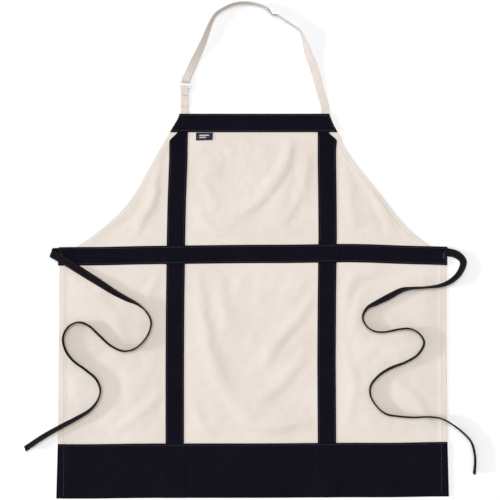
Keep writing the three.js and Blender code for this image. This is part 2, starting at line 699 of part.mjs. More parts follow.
// The strap's end comes back from the ring beside the strap and is sewn round the middle bar.
function neckStrapReturn() {
  const { points, wide, inward, radius } = ringTurn();
  const start = points[0].clone().addScaledVector(inward, -CLEARANCE);
  const leave = points[0].clone().addScaledVector(inward, -6);
  leave.z -= 1.2;
  const first = pathFrames([start, leave], wide);
  const { centre, along, inside } = sliderFrame();
  const isBefore = ({ at }) => at.clone().sub(centre).dot(along) < -SLIDER_LENGTH * 0.9;
  const doubled = routeFrames(NECK_STRAP.slice(0, 13), NECK_WIDTH).filter(isBefore);
  const beside = doubled.map(({ at, wide: w, face }) => (
    { at: at.clone().addScaledVector(face, LAYER), wide: w, face }));
  const local = [[-16, LAYER], [-8, LAYER], [0, LAYER]];
  for (let step = 1; step < 8; step++) {
    const angle = -Math.PI / 2 + step / 8 * Math.PI;
    local.push([SLIDER_LOOP * Math.cos(angle), SLIDER_MIDDLE + SLIDER_LOOP * Math.sin(angle)]);
  }
  local.push([0, SLIDER_MIDDLE + SLIDER_LOOP], [-4, SLIDER_MIDDLE + SLIDER_LOOP - 0.4],
    [-12, 2 * LAYER + 0.1], [-17, 2 * LAYER]);
  const turn = pathFrames(local.map(([u, n]) => centre.clone().addScaledVector(along, u)
    .addScaledVector(inside, n)), new THREE.Vector3(0, 0, 1));
  return tapeSolid([...first, ...beside, ...turn], NECK_WIDTH);
}

function manifoldFrom(geometry) {
  const points = geometry.getAttribute('position').array;
  const triVerts = Uint32Array.from(geometry.getIndex().array);
  const vertProperties = Float32Array.from(points);
  return new wasm.Manifold(new wasm.Mesh({ numProp: 3, vertProperties, triVerts }));
}

function geometryFrom(manifold) {
  const { vertProperties, triVerts } = manifold.getMesh();
  const geometry = new THREE.BufferGeometry();
  geometry.setAttribute('position', new THREE.Float32BufferAttribute(vertProperties, 3));
  geometry.setIndex(Array.from(triVerts));
  geometry.computeVertexNormals();
  return geometry;
}

function prism(outline, low, high) {
  const section = (z) => outline.map(([x, y]) => [x, y, z]);
  const flat = outline.map(([x, y]) => new THREE.Vector2(x, y));
  const turn = Math.sign(THREE.ShapeUtils.area(flat));
  const cap = THREE.ShapeUtils.triangulateShape(flat, []).map(([a, b, c]) => (
    Math.sign(THREE.ShapeUtils.area([flat[a], flat[b], flat[c]])) === turn
      ? [a, b, c] : [a, c, b]));
  return sweptSolid([section(low), section(high)], { cap });
}

function roundBar(x, y, radius, low, high) {
  const sides = 12;
  const outline = [];
  for (let k = 0; k < sides; k++) {
    const angle = (k + 0.5) / sides * 2 * Math.PI;
    outline.push([x + radius * Math.cos(angle), y + radius * Math.sin(angle)]);
  }
  return prism(outline, low, high);
}

// A three-bar slider: the strap runs straight between the two end bars and the middle bar.
function neckSlider() {
  const half = NECK_WIDTH / 2 + CLEARANCE;
  const reach = SLIDER_LENGTH / 2;
  const r = SLIDER_BAR / 2;
  const rail = [
    [-reach, SLIDER_ENDS - r], [-reach + 2 * r, SLIDER_ENDS - r], [0, SLIDER_MIDDLE - 1.6 * r],
    [reach - 2 * r, SLIDER_ENDS - r], [reach, SLIDER_ENDS - r], [reach, SLIDER_ENDS + r],
    [r, SLIDER_MIDDLE + r], [-r, SLIDER_MIDDLE + r], [-reach, SLIDER_ENDS + r],
  ];
  const lowRail = manifoldFrom(prism(rail, -half - SLIDER_BAR, -half));
  const highRail = manifoldFrom(prism(rail, half, half + SLIDER_BAR));
  const bars = [[-reach + r, SLIDER_ENDS], [0, SLIDER_MIDDLE], [reach - r, SLIDER_ENDS]];
  return geometryFrom(bars.reduce((solid, [x, y]) => (
    solid.add(manifoldFrom(roundBar(x, y, r, -half - r, half + r)))), lowRail.add(highRail)));
}

// ---- small sewn pieces ----

// The end of the tab or strap that is sewn between the two layers of the bib band.
function tapeRoot(x) {
  const sewn = BIB_SEAM_ALLOWANCE - CLEARANCE;
  const root = new THREE.BoxGeometry(NECK_WIDTH, sewn, CLOTH);
  root.translate(x, BIB_TOP - sewn / 2, AXIS_Z);
  return root;
}

// A dense bar of zigzag thread across a tape, standing on the surface below it.
function bartack(length, across) {
  return new THREE.BoxGeometry(across ? length : BARTACK_DEPTH,
    across ? BARTACK_DEPTH : length, THREAD);
}

function tabBartack() {
  const bar = bartack(BARTACK_LENGTH, true);
  const top = CLOTH + LAYER + CLEARANCE;
  return bar.translate(TAB_X, RING_Y - BARTACK_FROM_RING, top + THREAD / 2);
}

function tieBartack(side) {
  const bar = bartack(BARTACK_LENGTH, false);
  const x = SIDE_HALF_WIDTH + BAND_OVERHANG - SEAM_INSET - 2 * BARTACK_DEPTH;
  return bar.translate(side * x, 0, BAND_END_TOP + CLEARANCE + THREAD / 2);
}

// Sewn through the strap's turned end, beside the slider's middle bar.
function strapBartack() {
  const { centre, along, inside } = sliderFrame();
  const bar = new THREE.BoxGeometry(BARTACK_DEPTH, THREAD, BARTACK_LENGTH);
  const beside = 2 * LAYER + CLOTH / 2 + CLEARANCE + THREAD / 2;
  bar.rotateZ(Math.atan2(along.y, along.x));
  const at = centre.addScaledVector(along, -BARTACK_FROM_BAR).addScaledVector(inside, beside);
  return bar.translate(at.x, at.y, at.z);
}

function labelFlap() {
  const from = BIB_BOTTOM - CLEARANCE - LABEL / 2;
  const ground = LIFTED_TOP + CLEARANCE;
  const half = LABEL_WIDTH / 2;
  const profile = [[from, ground], [from - SLOPE, STRAP_LOW + 0.4], [from - LABEL_HEIGHT, STRAP_LOW]];
  const rows = profile.map(([y, low]) => [-half, half].map((offset) => (
    { x: LABEL_X + offset, y, low, high: low + LABEL })));
  return sheetSolid(rows);
}

// ---- assembly ----

addPiece('canvas_panel', canvasPanel(), canvasMaterial());
addPiece('bib_band', bibBand(bibProfile(), WEBBING), webbingMaterial());
addPiece('bib_band_back', bibBand(bibProfile().map(([x]) => [x, 0]), CLOTH), webbingMaterial());
addPiece('waist_band', waistBand(), webbingMaterial());
addPiece('hem_band', hemBand(), webbingMaterial());
addPiece('label_flap', labelFlap(), labelMaterial());

for (const [name, side] of [['left', -1], ['right', 1]]) {
  const seamFrom = HEM_TOP + CLEARANCE;
  const seamTo = BIB_BOTTOM - SLOPE;
  const underBand = BAND_HEIGHT / 2 + WAIST_ARCH + CLEARANCE;
  addPiece(`${name}_armhole_facing`, armholeFacing(side), canvasMaterial());
  addPiece(`${name}_armhole_seam`, armholeThread(side), threadMaterial());
  addPiece(`${name}_side_hem_seam`, sideHemThread(side), threadMaterial());
  addPiece(`${name}_front_strap`, frontStrap(side), webbingMaterial());
  addPiece(`${name}_tie_bartack`, tieBartack(side), threadMaterial());
  const edges = [['inner', strapInner() + SEAM_INSET],
    ['outer', STRAP_X + BAND_HEIGHT / 2 - SEAM_INSET]];
  for (const [edge, x] of edges) {
    addPiece(`${name}_strap_${edge}_seam_skirt`, strapThread(side, x, seamFrom, -underBand),
      threadMaterial());
    addPiece(`${name}_strap_${edge}_seam_bib`, strapThread(side, x, underBand, seamTo),
      threadMaterial());
  }
}

const waistSeamEnd = SIDE_HALF_WIDTH + BAND_OVERHANG - SEAM_INSET;
for (const [name, edge] of [['bottom', -1], ['top', 1]]) {
  const inset = edge * (BAND_HEIGHT / 2 - SEAM_INSET);
  addPiece(`waist_band_${name}_seam`,
    bandThread(waistProfile(), (x) => inset + waistArch(x), WEBBING, waistSeamEnd),
    threadMaterial());
  const bibY = (BIB_BOTTOM + BIB_TOP) / 2 + inset;
  addPiece(`bib_band_${name}_seam`,
    bandThread(bibProfile(), () => bibY, WEBBING, BIB_TOP_HALF_WIDTH - SEAM_INSET),
    threadMaterial());
}
addPiece('hem_band_top_seam',
  bandThread(hemProfile(), () => HEM_TOP - SEAM_INSET, CLOTH,
    sideHalfWidth(HEM_TOP) - SEAM_INSET), threadMaterial());

addPiece('left_waist_tie', waistTie(LEFT_TIE), tieMaterial());
addPiece('right_waist_tie', waistTie(RIGHT_TIE), tieMaterial());

addPiece('neck_tab_root', tapeRoot(TAB_X), tapeMaterial());
addPiece('neck_strap_root', tapeRoot(STRAP_END_X), tapeMaterial());
addPiece('neck_tab', neckTab(), tapeMaterial());
addPiece('neck_strap', neckStrap(), tapeMaterial());
addPiece('neck_strap_return', neckStrapReturn(), tapeMaterial());
addPiece('neck_tab_bartack', tabBartack(), threadMaterial());
addPiece('neck_strap_bartack', strapBartack(), threadMaterial());

const ring = addPiece('neck_ring', neckRing(), metalMaterial());
ring.position.copy(ringBar(0.5));
ring.rotation.z = RING_TILT;

const slider = addPiece('neck_slider', neckSlider(), metalMaterial());
const { centre: sliderCentre, along: sliderAlong, inside: sliderInside } = sliderFrame();
const sliderTurn = new THREE.Matrix4().makeBasis(sliderAlong,
  sliderInside, new THREE.Vector3(0, 0, -1));
slider.position.copy(sliderCentre);
slider.quaternion.setFromRotationMatrix(sliderTurn);

export default apron;
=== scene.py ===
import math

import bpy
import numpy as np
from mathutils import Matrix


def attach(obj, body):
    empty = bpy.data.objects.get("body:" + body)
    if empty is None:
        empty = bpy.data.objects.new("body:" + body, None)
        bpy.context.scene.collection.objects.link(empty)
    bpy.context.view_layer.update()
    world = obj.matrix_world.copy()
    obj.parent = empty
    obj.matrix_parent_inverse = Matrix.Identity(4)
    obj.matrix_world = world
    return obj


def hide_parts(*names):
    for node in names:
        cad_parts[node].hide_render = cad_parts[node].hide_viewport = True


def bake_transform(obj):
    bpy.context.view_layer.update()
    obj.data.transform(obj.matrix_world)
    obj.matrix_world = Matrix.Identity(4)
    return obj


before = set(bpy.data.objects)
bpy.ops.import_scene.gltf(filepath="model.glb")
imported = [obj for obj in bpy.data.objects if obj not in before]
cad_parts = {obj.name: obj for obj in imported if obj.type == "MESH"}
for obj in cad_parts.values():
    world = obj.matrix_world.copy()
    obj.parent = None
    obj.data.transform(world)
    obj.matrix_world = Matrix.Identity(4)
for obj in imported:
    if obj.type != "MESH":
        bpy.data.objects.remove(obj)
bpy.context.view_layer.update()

# The looks of an artist's bib apron, laid flat on a pale floor.
#
# Metres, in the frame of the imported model: +Z is the front of the cloth, +Y points to the neck
# and the origin is on the back face at the middle of the waist band. Every layer of cloth is a
# grid of points with its own height, and all the layers share one soft relief, so they lie on
# each other.

# ---- sizes, as in the design ----

MM = 0.001
CLEARANCE = 0.3 * MM
CLOTH = 1.0 * MM
WEBBING = 1.5 * MM
SLOPE = 8 * MM

SIDE_HALF_WIDTH = 0.396
HEM_HALF_WIDTH = 0.402
BAND_OVERHANG = 2.5 * MM
SIDE_HEM = 0.014
ARMHOLE_FACING = 0.012
FACING_START = 0.029

BAND_HEIGHT = 0.038
BIB_BOTTOM = 0.2505
BIB_TOP = BIB_BOTTOM + BAND_HEIGHT
BIB_TOP_HALF_WIDTH = 0.157
BIB_BOTTOM_HALF_WIDTH = 0.1705
BIB_SEAM_ALLOWANCE = 0.012
WAIST_ARCH = 3.5 * MM
HEM_BOTTOM = -0.4985
HEM_TOP = -0.3865
HEM_TURN_UP = 0.030
STRAP_X = 0.154
STRAP_HALF = BAND_HEIGHT / 2
SEAM_INSET = 3.5 * MM

LABEL_X = -0.0985
LABEL_WIDTH = 0.035
LABEL_HEIGHT = 0.017
LABEL = 0.8 * MM

NECK_WIDTH = 0.017
TIE_WIDTH = 0.0165
TIE_SEWN = 0.020
TIE_THICKNESS = 2.6 * MM
TAB_X = -0.139
STRAP_END_X = 0.149
RING_WIRE = 2.4 * MM
RING_INNER_LENGTH = NECK_WIDTH + 1.5 * MM
RING_OUTER_HEIGHT = 0.015
RING_Y = 0.3425
RING_TILT = math.radians(-8)
RING_PLAY = 1.3 * MM
SLIDER_BAR = 2 * MM
SLIDER_LENGTH = 0.020
SLIDER_OFFSET = 0.014
BARTACK_LENGTH = 0.012
BARTACK_DEPTH = 2 * MM
BARTACK_FROM_RING = 0.016
BARTACK_FROM_BAR = 0.015

STEP_UP = CLOTH + CLEARANCE
SIDE_HEM_TOP = 3 * CLOTH
AXIS_Z = STEP_UP + CLOTH / 2
AXIS_Y = BIB_TOP + CLEARANCE + CLOTH / 2
TIE_Z = SIDE_HEM_TOP + CLEARANCE
LAYER = CLOTH + CLEARANCE

# Thicknesses as drawn: a little under the room that the design gives each layer.
WEBBING_DRAWN = 1.3 * MM
CANVAS_DRAWN = 0.95 * MM
TAPE_DRAWN = 0.9 * MM

# ---- camera: straight above, a square view a little wider than the apron ----

VIEW_WIDTH = 1.025
VIEW_CENTRE = (-0.0053, 0.0094)
LENS = 100.0
SENSOR = 36.0


def add_camera():
    camera = bpy.data.objects.new("camera", bpy.data.cameras.new("camera"))
    bpy.context.scene.collection.objects.link(camera)
    camera.data.lens = LENS
    camera.data.sensor_width = SENSOR
    camera.location = (*VIEW_CENTRE, VIEW_WIDTH * LENS / SENSOR)
    bpy.context.scene.camera = camera


add_camera()


# ---- small helpers ----

def smooth(share):
    share = np.clip(share, 0.0, 1.0)
    return share * share * (3 - 2 * share)


def eased(x, profile):
    """Heights along a profile of (place, height), with a soft curve on each slope."""
    places, heights = np.array(profile, float).T
    x = np.clip(np.asarray(x, float), places[0], places[-1])
    here = np.clip(np.searchsorted(places, x, side="right") - 1, 0, len(places) - 2)
    share = smooth((x - places[here]) / (places[here + 1] - places[here]))
    return heights[here] + (heights[here + 1] - heights[here]) * share


def unit(vectors):
    vectors = np.asarray(vectors, float)
    return vectors / np.maximum(np.linalg.norm(vectors, axis=-1, keepdims=True), 1e-12)


def run_of(line):
    """Distance along a line of points, at each of them."""
    return np.concatenate([[0], np.cumsum(np.linalg.norm(np.diff(line, axis=0), axis=1))])


def placed(at, run, values):
    """Rows of three values, read between the points of a line."""
    return np.stack([np.interp(at, run, values[:, k]) for k in range(3)], 1)


# ---- meshes ----

def new_mesh(name, points, faces, uv=None, rim=None):
    mesh = bpy.data.meshes.new(name)
    mesh.from_pydata(np.asarray(points).tolist(), [], np.asarray(faces).tolist()
                     if isinstance(faces, np.ndarray) else faces)
    mesh.polygons.foreach_set("use_smooth", np.ones(len(mesh.polygons), bool))
    if uv is not None:
        corners = np.zeros(len(mesh.loops), int)
        mesh.loops.foreach_get("vertex_index", corners)
        layer = mesh.uv_layers.new(name="cloth")
        layer.data.foreach_set("uv", np.asarray(uv)[corners].astype(np.float32).ravel())
    if rim is not None:
        attribute = mesh.attributes.new("rim", "FLOAT", "POINT")
        attribute.data.foreach_set("value", np.asarray(rim, np.float32))
    mesh.update()
    obj = bpy.data.objects.new(name, mesh)
    bpy.context.scene.collection.objects.link(obj)
    return obj


# ---- outline of the canvas ----

def armhole_points():
    """The armhole edge from the bib band down to the waist: a cubic curve."""
    top = np.array([BIB_BOTTOM_HALF_WIDTH, BIB_BOTTOM])
    side = np.array([SIDE_HALF_WIDTH, 0.0])
    fall = BIB_BOTTOM * 0.39
    reach = (SIDE_HALF_WIDTH - BIB_BOTTOM_HALF_WIDTH) * 0.425
    upper = top + (fall * 0.55, -fall)
    lower = side + (-reach, reach * 0.42)
    t = np.linspace(0, 1, 400)[:, None]
    return ((1 - t) ** 3 * top + 3 * (1 - t) ** 2 * t * upper
            + 3 * (1 - t) * t ** 2 * lower + t ** 3 * side)


ARMHOLE = armhole_points()[::-1]
ARMHOLE_STEEPNESS = np.abs(unit(np.gradient(ARMHOLE, axis=0))[:, 1])


def half_width(y):
    y = np.asarray(y, float)
    skirt_end = HEM_HALF_WIDTH - BAND_OVERHANG
    skirt = SIDE_HALF_WIDTH + (skirt_end - SIDE_HALF_WIDTH) * y / HEM_BOTTOM
    arm = np.interp(y, ARMHOLE[:, 1], ARMHOLE[:, 0])
    share = (y - BIB_BOTTOM) / BAND_HEIGHT
    bib = BIB_BOTTOM_HALF_WIDTH + (BIB_TOP_HALF_WIDTH - BIB_BOTTOM_HALF_WIDTH) * share
    return np.where(y <= 0, skirt, np.where(y <= BIB_BOTTOM, arm, bib))


def edge_steepness(y):
    """1 where the side edge runs straight up, less where it slants."""
    arm = np.interp(y, ARMHOLE[:, 1], ARMHOLE_STEEPNESS)
    return 1 + (arm - 1) * smooth(np.asarray(y) / 0.018)


def inside_edge(x, y):
    """How far a point lies inside the side edge of the canvas."""
    return (half_width(y) - np.abs(x)) * edge_steepness(y)


def waist_arch(x):
    return -WAIST_ARCH * (x / SIDE_HALF_WIDTH) ** 2


# The straps are laid a little askew: (y, how far the left one and the right one are off).
STRAP_LEAN = [
    (HEM_BOTTOM, -0.0055, -0.0010), (-0.216, -0.0053, -0.0026), (-0.093, -0.0045, -0.0018),
    (0.040, -0.0027, -0.0003), (0.112, -0.0012, -0.0008), (0.194, 0.0019, -0.0018),
    (BIB_TOP, 0.0030, -0.0016),
]


def strap_middle(side, y):
    places, left, right = np.array(STRAP_LEAN).T
    return side * STRAP_X + np.interp(y, places, left if side < 0 else right)


# Soft displacements of the laid cloth: place, reach in x and y, and shift in x and y.
SHIFTS = [
    (-0.165, 0.290, 0.016, 0.028, 0.0095, 0.0),
    (0.178, 0.250, 0.012, 0.020, 0.0055, 0.0),
    (0.000, 0.000, 0.110, 0.120, 0.0, 0.0012),
    (0.205, 0.000, 0.110, 0.140, 0.0, 0.0040),
    (0.370, 0.000, 0.050, 0.100, 0.0, 0.0008),
    (-0.310, 0.000, 0.060, 0.080, 0.0, -0.0010),
    (0.200, -0.440, 0.120, 0.110, 0.0, 0.0016),
    (0.400, -0.440, 0.090, 0.130, 0.0, 0.0036),
    (-0.350, -0.440, 0.090, 0.130, 0.0, -0.0020),
]
# Shifts in x of the cloth between a strap and the armhole: side, y, reach and shift.
WING_SHIFTS = [(-1, 0.100, 0.062, 0.0110), (1, 0.120, 0.058, 0.0090)]


def laid_shift(x, y):
    """How far the cloth lies from its pattern at a point."""
    dx, dy = np.zeros_like(x), np.zeros_like(x)
    for at_x, at_y, reach_x, reach_y, shift_x, shift_y in SHIFTS:
        weight = np.exp(-((x - at_x) / reach_x) ** 2 - ((y - at_y) / reach_y) ** 2)
        dx, dy = dx + shift_x * weight, dy + shift_y * weight
    for side, at_y, reach, shift in WING_SHIFTS:
        weight = np.exp(-((y - at_y) / reach) ** 2)
        dx = dx + shift * weight * smooth((side * x - STRAP_X - STRAP_HALF - 0.002) / 0.040)
    return dx, dy


def settle(obj):
    """Moves a piece's points from the pattern to where the laid cloth is."""
    points = np.empty(3 * len(obj.data.vertices))
    obj.data.vertices.foreach_get("co", points)
    points = points.reshape(-1, 3)
    dx, dy = laid_shift(points[:, 0], points[:, 1])
    points[:, 0] += dx
    points[:, 1] += dy
    obj.data.vertices.foreach_set("co", points.ravel())
    obj.data.update()


# ---- relief of the cloth ----

# A soft fold pressed into the canvas: the points that it runs through, its height, half width.
FOLDS = [
    ([(0.079, 0.238), (0.064, 0.182), (0.026, 0.128), (-0.018, 0.086)], 3.6, 0.013),
    ([(0.112, 0.212), (0.108, 0.176), (0.094, 0.118), (0.066, 0.066)], 2.4, 0.013),
    ([(-0.104, 0.170), (-0.094, 0.138), (-0.080, 0.110)], 1.8, 0.010),
    ([(-0.110, 0.088), (-0.090, 0.062), (-0.070, 0.044)], 1.8, 0.010),
    ([(-0.060, 0.226), (-0.036, 0.200), (0.000, 0.184)], 1.0, 0.012),
    ([(-0.188, 0.200), (-0.214, 0.118), (-0.244, 0.046)], 3.0, 0.012),
    ([(-0.216, 0.166), (-0.256, 0.100), (-0.306, 0.050)], 1.6, 0.011),
    ([(0.184, 0.186), (0.192, 0.110), (0.206, 0.044)], 2.2, 0.010),
    ([(0.232, 0.142), (0.256, 0.100), (0.288, 0.044)], 2.6, 0.012),
    ([(-0.112, -0.052), (-0.096, -0.150), (-0.070, -0.250), (-0.012, -0.338)], 3.4, 0.015),
    ([(-0.066, -0.044), (-0.058, -0.110), (-0.034, -0.176)], 1.4, 0.014),
    ([(0.126, -0.088), (0.084, -0.140), (0.042, -0.190), (0.026, -0.232)], 2.8, 0.014),
    ([(0.112, -0.196), (0.060, -0.262), (0.012, -0.300)], 1.8, 0.014),
    ([(-0.006, -0.350), (0.058, -0.352), (0.126, -0.340)], 2.4, 0.011),
    ([(-0.122, -0.300), (-0.106, -0.346), (-0.080, -0.368)], 1.8, 0.010),
    ([(-0.196, -0.040), (-0.214, -0.096), (-0.200, -0.150)], 2.2, 0.013),
    ([(-0.356, -0.060), (-0.300, -0.110), (-0.272, -0.168)], 1.2, 0.014),
    ([(-0.276, -0.352), (-0.232, -0.324), (-0.190, -0.286)], 2.4, 0.012),
    ([(0.180, -0.118), (0.206, -0.054), (0.270, -0.036)], 2.4, 0.012),
    ([(0.186, -0.190), (0.204, -0.260), (0.196, -0.336)], 1.8, 0.013),
    ([(0.290, -0.262), (0.330, -0.292), (0.368, -0.352)], 1.8, 0.012),
    ([(0.262, -0.190), (0.292, -0.196), (0.330, -0.186)], 1.2, 0.012),
]
SWELLS = [
    # wave length in x and y, turn, phase, height
    (0.290, 0.410, 0.35, 1.3, 0.55),
    (0.170, 0.230, -0.60, 0.4, 0.40),
    (0.110, 0.150, 0.90, 2.2, 0.22),
    (0.064, 0.090, -1.10, 4.1, 0.10),
]
FOLD_HEIGHT = 1.6 * MM
FOLD_FADE = 0.024
EDGE_FADE = 0.050
SHEET_WEIGHT = 0.25
FULLNESS = 0.006
MOST_RELIEF = 7 * MM
SETTLE_FRAMES = 18
GRID_STEP = 3 * MM
GRID_X = np.arange(-0.411, 0.4111, GRID_STEP)
GRID_Y = np.arange(-0.507, 0.2971, GRID_STEP)


def through(points, steps=10):
    """A smooth line through a few points, as an open Catmull-Rom curve."""
    points = np.array(points, float)
    ends = np.vstack([2 * points[0] - points[1], points, 2 * points[-1] - points[-2]])
    line = []
    for i in range(1, len(ends) - 2):
        a, b, c, d = ends[i - 1:i + 3]
        for t in np.arange(steps) / steps:
            line.append(0.5 * (2 * b + (c - a) * t + (2 * a - 5 * b + 4 * c - d) * t ** 2
                               + (3 * b - a - 3 * c + d) * t ** 3))
    return np.array([*line, points[-1]])


def fold_relief(x, y):
    """Height of all the folds: each has a soft crown and runs out at its two ends."""
    total = np.zeros_like(x)
    for points, height, half in FOLDS:
        line = through(points)
        low, high = line.min(0) - 3 * half, line.max(0) + 3 * half
        near = (x > low[0]) & (x < high[0]) & (y > low[1]) & (y < high[1])
        xs, ys = x[near], y[near]
        best = np.full(xs.shape, np.inf)
        place = np.zeros_like(xs)
        for i, ((xa, ya), (xb, yb)) in enumerate(zip(line[:-1], line[1:])):
            dx, dy = xb - xa, yb - ya
            share = np.clip(((xs - xa) * dx + (ys - ya) * dy) / (dx * dx + dy * dy), 0, 1)
            away = np.hypot(xs - xa - share * dx, ys - ya - share * dy)
            place = np.where(away < best, (i + share) / (len(line) - 1), place)
            best = np.minimum(best, away)
        crown = 0.35 + 0.65 * np.sin(np.pi * np.clip(place, 0, 1)) ** 0.7
        total[near] += height * FOLD_HEIGHT * crown * np.exp(-(best / half) ** 2)
    return total


def swell_relief(x, y):
    total = np.zeros_like(x)
    for wide, long, turn, phase, height in SWELLS:
        u = x * math.cos(turn) + y * math.sin(turn)
        v = y * math.cos(turn) - x * math.sin(turn)
        wave = np.sin(2 * np.pi * u / wide + phase) * np.cos(2 * np.pi * v / long + 2 * phase)
        total += height * MM * (1 + wave)
    return total


def free_cloth(x, y):
    """1 where the cloth can move, and 0 where a band, a strap or a hem is sewn to it."""
    off_strap = np.abs(np.abs(x) - STRAP_X) - STRAP_HALF
    off_waist = np.abs(y - waist_arch(x)) - BAND_HEIGHT / 2
    free = np.ones_like(x)
    for gap in (off_strap, off_waist, y - HEM_TOP, BIB_BOTTOM - y, inside_edge(x, y)):
        free = free * smooth(gap / FOLD_FADE)
    return free


def settled(x, y, height, free):
    """The folds after the cloth has sagged: a little fuller than its seams, on the floor."""
    rows, columns = height.shape
    index = np.arange(rows * columns).reshape(rows, columns)
    faces = np.stack([index[:-1, :-1], index[:-1, 1:], index[1:, 1:], index[1:, :-1]], -1)
    points = np.stack([x, y, height], -1).reshape(-1, 3)
    sheet = new_mesh("settling_cloth", points, faces.reshape(-1, 4))
    sewn = sheet.vertex_groups.new(name="sewn")
    for weight in np.unique(np.round(1 - free, 1)):
        held = np.flatnonzero(np.round(1 - free.ravel(), 1) == weight)
        sewn.add(held.tolist(), float(weight), "REPLACE")
    cloth = sheet.modifiers.new("cloth", "CLOTH")
    cloth.settings.quality = 6
    cloth.settings.mass = SHEET_WEIGHT / (rows * columns)
    cloth.settings.tension_stiffness = cloth.settings.compression_stiffness = 12
    cloth.settings.shear_stiffness = 4
    cloth.settings.bending_stiffness = 0.3
    cloth.settings.air_damping = 4
    cloth.settings.shrink_min = -FULLNESS
    cloth.settings.vertex_group_mass = "sewn"
    cloth.collision_settings.distance_min = MM
    cloth.point_cache.frame_end = SETTLE_FRAMES
    reach = 0.6
    corners = [(-reach, -reach), (reach, -reach), (reach, reach), (-reach, reach)]
    ground = new_mesh("settling_floor", [(a, b, -2 * MM) for a, b in corners], [(0, 1, 2, 3)])
    ground.modifiers.new("collision", "COLLISION")
    ground.collision.thickness_outer = MM
    for frame_number in range(1, SETTLE_FRAMES + 1):
        bpy.context.scene.frame_set(frame_number)
    graph = bpy.context.evaluated_depsgraph_get()
    result = np.empty(3 * rows * columns)
    sheet.evaluated_get(graph).data.vertices.foreach_get("co", result)
    for obj in (sheet, ground):
        mesh = obj.data
        bpy.data.objects.remove(obj)
        bpy.data.meshes.remove(mesh)
    bpy.context.scene.frame_set(1)
    sagged = result.reshape(rows, columns, 3)[..., 2]
    return np.clip(sagged, 0, MOST_RELIEF)


def finer(coarse, x, y):
    """A grid of every second point, filled in to the full grid with straight steps."""
    wide = np.array([np.interp(GRID_X, x, row) for row in coarse])
    return np.array([np.interp(GRID_Y, y, column) for column in wide.T]).T


def softened(grid):
    for _ in range(2):
        padded = np.pad(grid, 1, mode="edge")
        sides = padded[:-2, 1:-1] + padded[2:, 1:-1] + padded[1:-1, :-2] + padded[1:-1, 2:]
        grid = grid * 0.5 + sides * 0.125
    return grid


def relief_grid():
    """Heights of the relief on a square grid over the whole apron."""
    x, y = np.meshgrid(GRID_X, GRID_Y)
    free = free_cloth(x, y)
    folds = fold_relief(x, y) * free
    few = (slice(None, None, 2), slice(None, None, 2))
    sagged = settled(x[few], y[few], folds[few], free[few])
    folds = softened(finer(sagged, GRID_X[::2], GRID_Y[::2])) * smooth(free * 4)
    side = smooth(inside_edge(x, np.clip(y, HEM_BOTTOM, BIB_TOP)) / EDGE_FADE)
    ends = smooth((BIB_BOTTOM - 5 * MM - y) / EDGE_FADE) * smooth((y - HEM_BOTTOM) / EDGE_FADE)
    return swell_relief(x, y) * side * ends + folds


RELIEF = relief_grid()


def relief(x, y):
    """Height that the relief lifts every layer at a point, from 0 at the apron's edges."""
    column = np.clip((np.asarray(x, float) - GRID_X[0]) / GRID_STEP, 0, len(GRID_X) - 1.001)
    row = np.clip((np.asarray(y, float) - GRID_Y[0]) / GRID_STEP, 0, len(GRID_Y) - 1.001)
    c, r = column.astype(int), row.astype(int)
    u, v = column - c, row - r
    lower = RELIEF[r, c] * (1 - u) + RELIEF[r, c + 1] * u
    upper = RELIEF[r + 1, c] * (1 - u) + RELIEF[r + 1, c + 1] * u
    return lower * (1 - v) + upper * v


MARGIN_LIFT = 1.2 * MM
MARGIN_RUN = 0.009


def row_lift(y):
    """The canvas lies on the turned-up hem at the bottom and on the bib band's back at the top."""
    turn = HEM_BOTTOM + HEM_TURN_UP + CLEARANCE
    profile = [(HEM_BOTTOM, STEP_UP), (turn, STEP_UP), (turn + 0.010, 0), (BIB_BOTTOM - 0.010, 0),
               (BIB_BOTTOM, STEP_UP), (BIB_TOP, STEP_UP)]
    return eased(y, profile)


def margin_lift(x, y):
    """The canvas lies on its side hem along the skirt and on a facing along the armhole."""
    change = smooth((y + 0.005) / 0.025)
    width = SIDE_HEM + (ARMHOLE_FACING - SIDE_HEM) * change - 0.003
    return MARGIN_LIFT * (1 - smooth((inside_edge(x, y) - width) / MARGIN_RUN))


def canvas_low(x, y):
    row, margin = row_lift(y), margin_lift(x, y)
    return relief(x, y) + np.where(y < 0, row + margin, np.maximum(row, margin))


def canvas_top(x, y):
    return canvas_low(x, y) + CLOTH


def strap_low(x, y):
    return canvas_top(x, y) + CLEARANCE


def over_straps(x, y, ground, crossing):
    """A band's height: it climbs over each strap and comes down again beside it."""
    height = np.full(np.broadcast(x, y).shape, ground, float)
    for side in (-1, 1):
        away = np.abs(x - strap_middle(side, y)) - STRAP_HALF - CLEARANCE
        height = np.maximum(height, crossing + (ground - crossing) * smooth(away / SLOPE))
    return height


def bib_low(x, y):
    ground = STEP_UP + CLOTH + CLEARANCE
    return relief(x, y) + over_straps(x, y, ground, ground + WEBBING + CLEARANCE)


def waist_low(x, y):
    ground = CLOTH + CLEARANCE
    over_tie = TIE_Z + STEP_UP
    tie_start = SIDE_HALF_WIDTH + BAND_OVERHANG - TIE_SEWN - CLEARANCE
    ends = over_tie + (ground - over_tie) * smooth((tie_start - np.abs(x)) / 0.010)
    straps = over_straps(x, y, ground, ground + WEBBING + CLEARANCE)
    margin = margin_lift(x, y) + ground
    return relief(x, y) + np.maximum(np.maximum(straps, ends), margin)


def hem_low(x, y):
    ground = STEP_UP + CLOTH + CLEARANCE
    over_hem = STEP_UP + MARGIN_LIFT + CLOTH + CLEARANCE
    hem_start = HEM_HALF_WIDTH - BAND_OVERHANG - SIDE_HEM
    ends = over_hem + (ground - over_hem) * smooth((hem_start - 0.010 - np.abs(x)) / 0.010)
    straps = over_straps(x, y, ground, ground + WEBBING + CLEARANCE)
    return relief(x, y) + np.maximum(straps, ends)


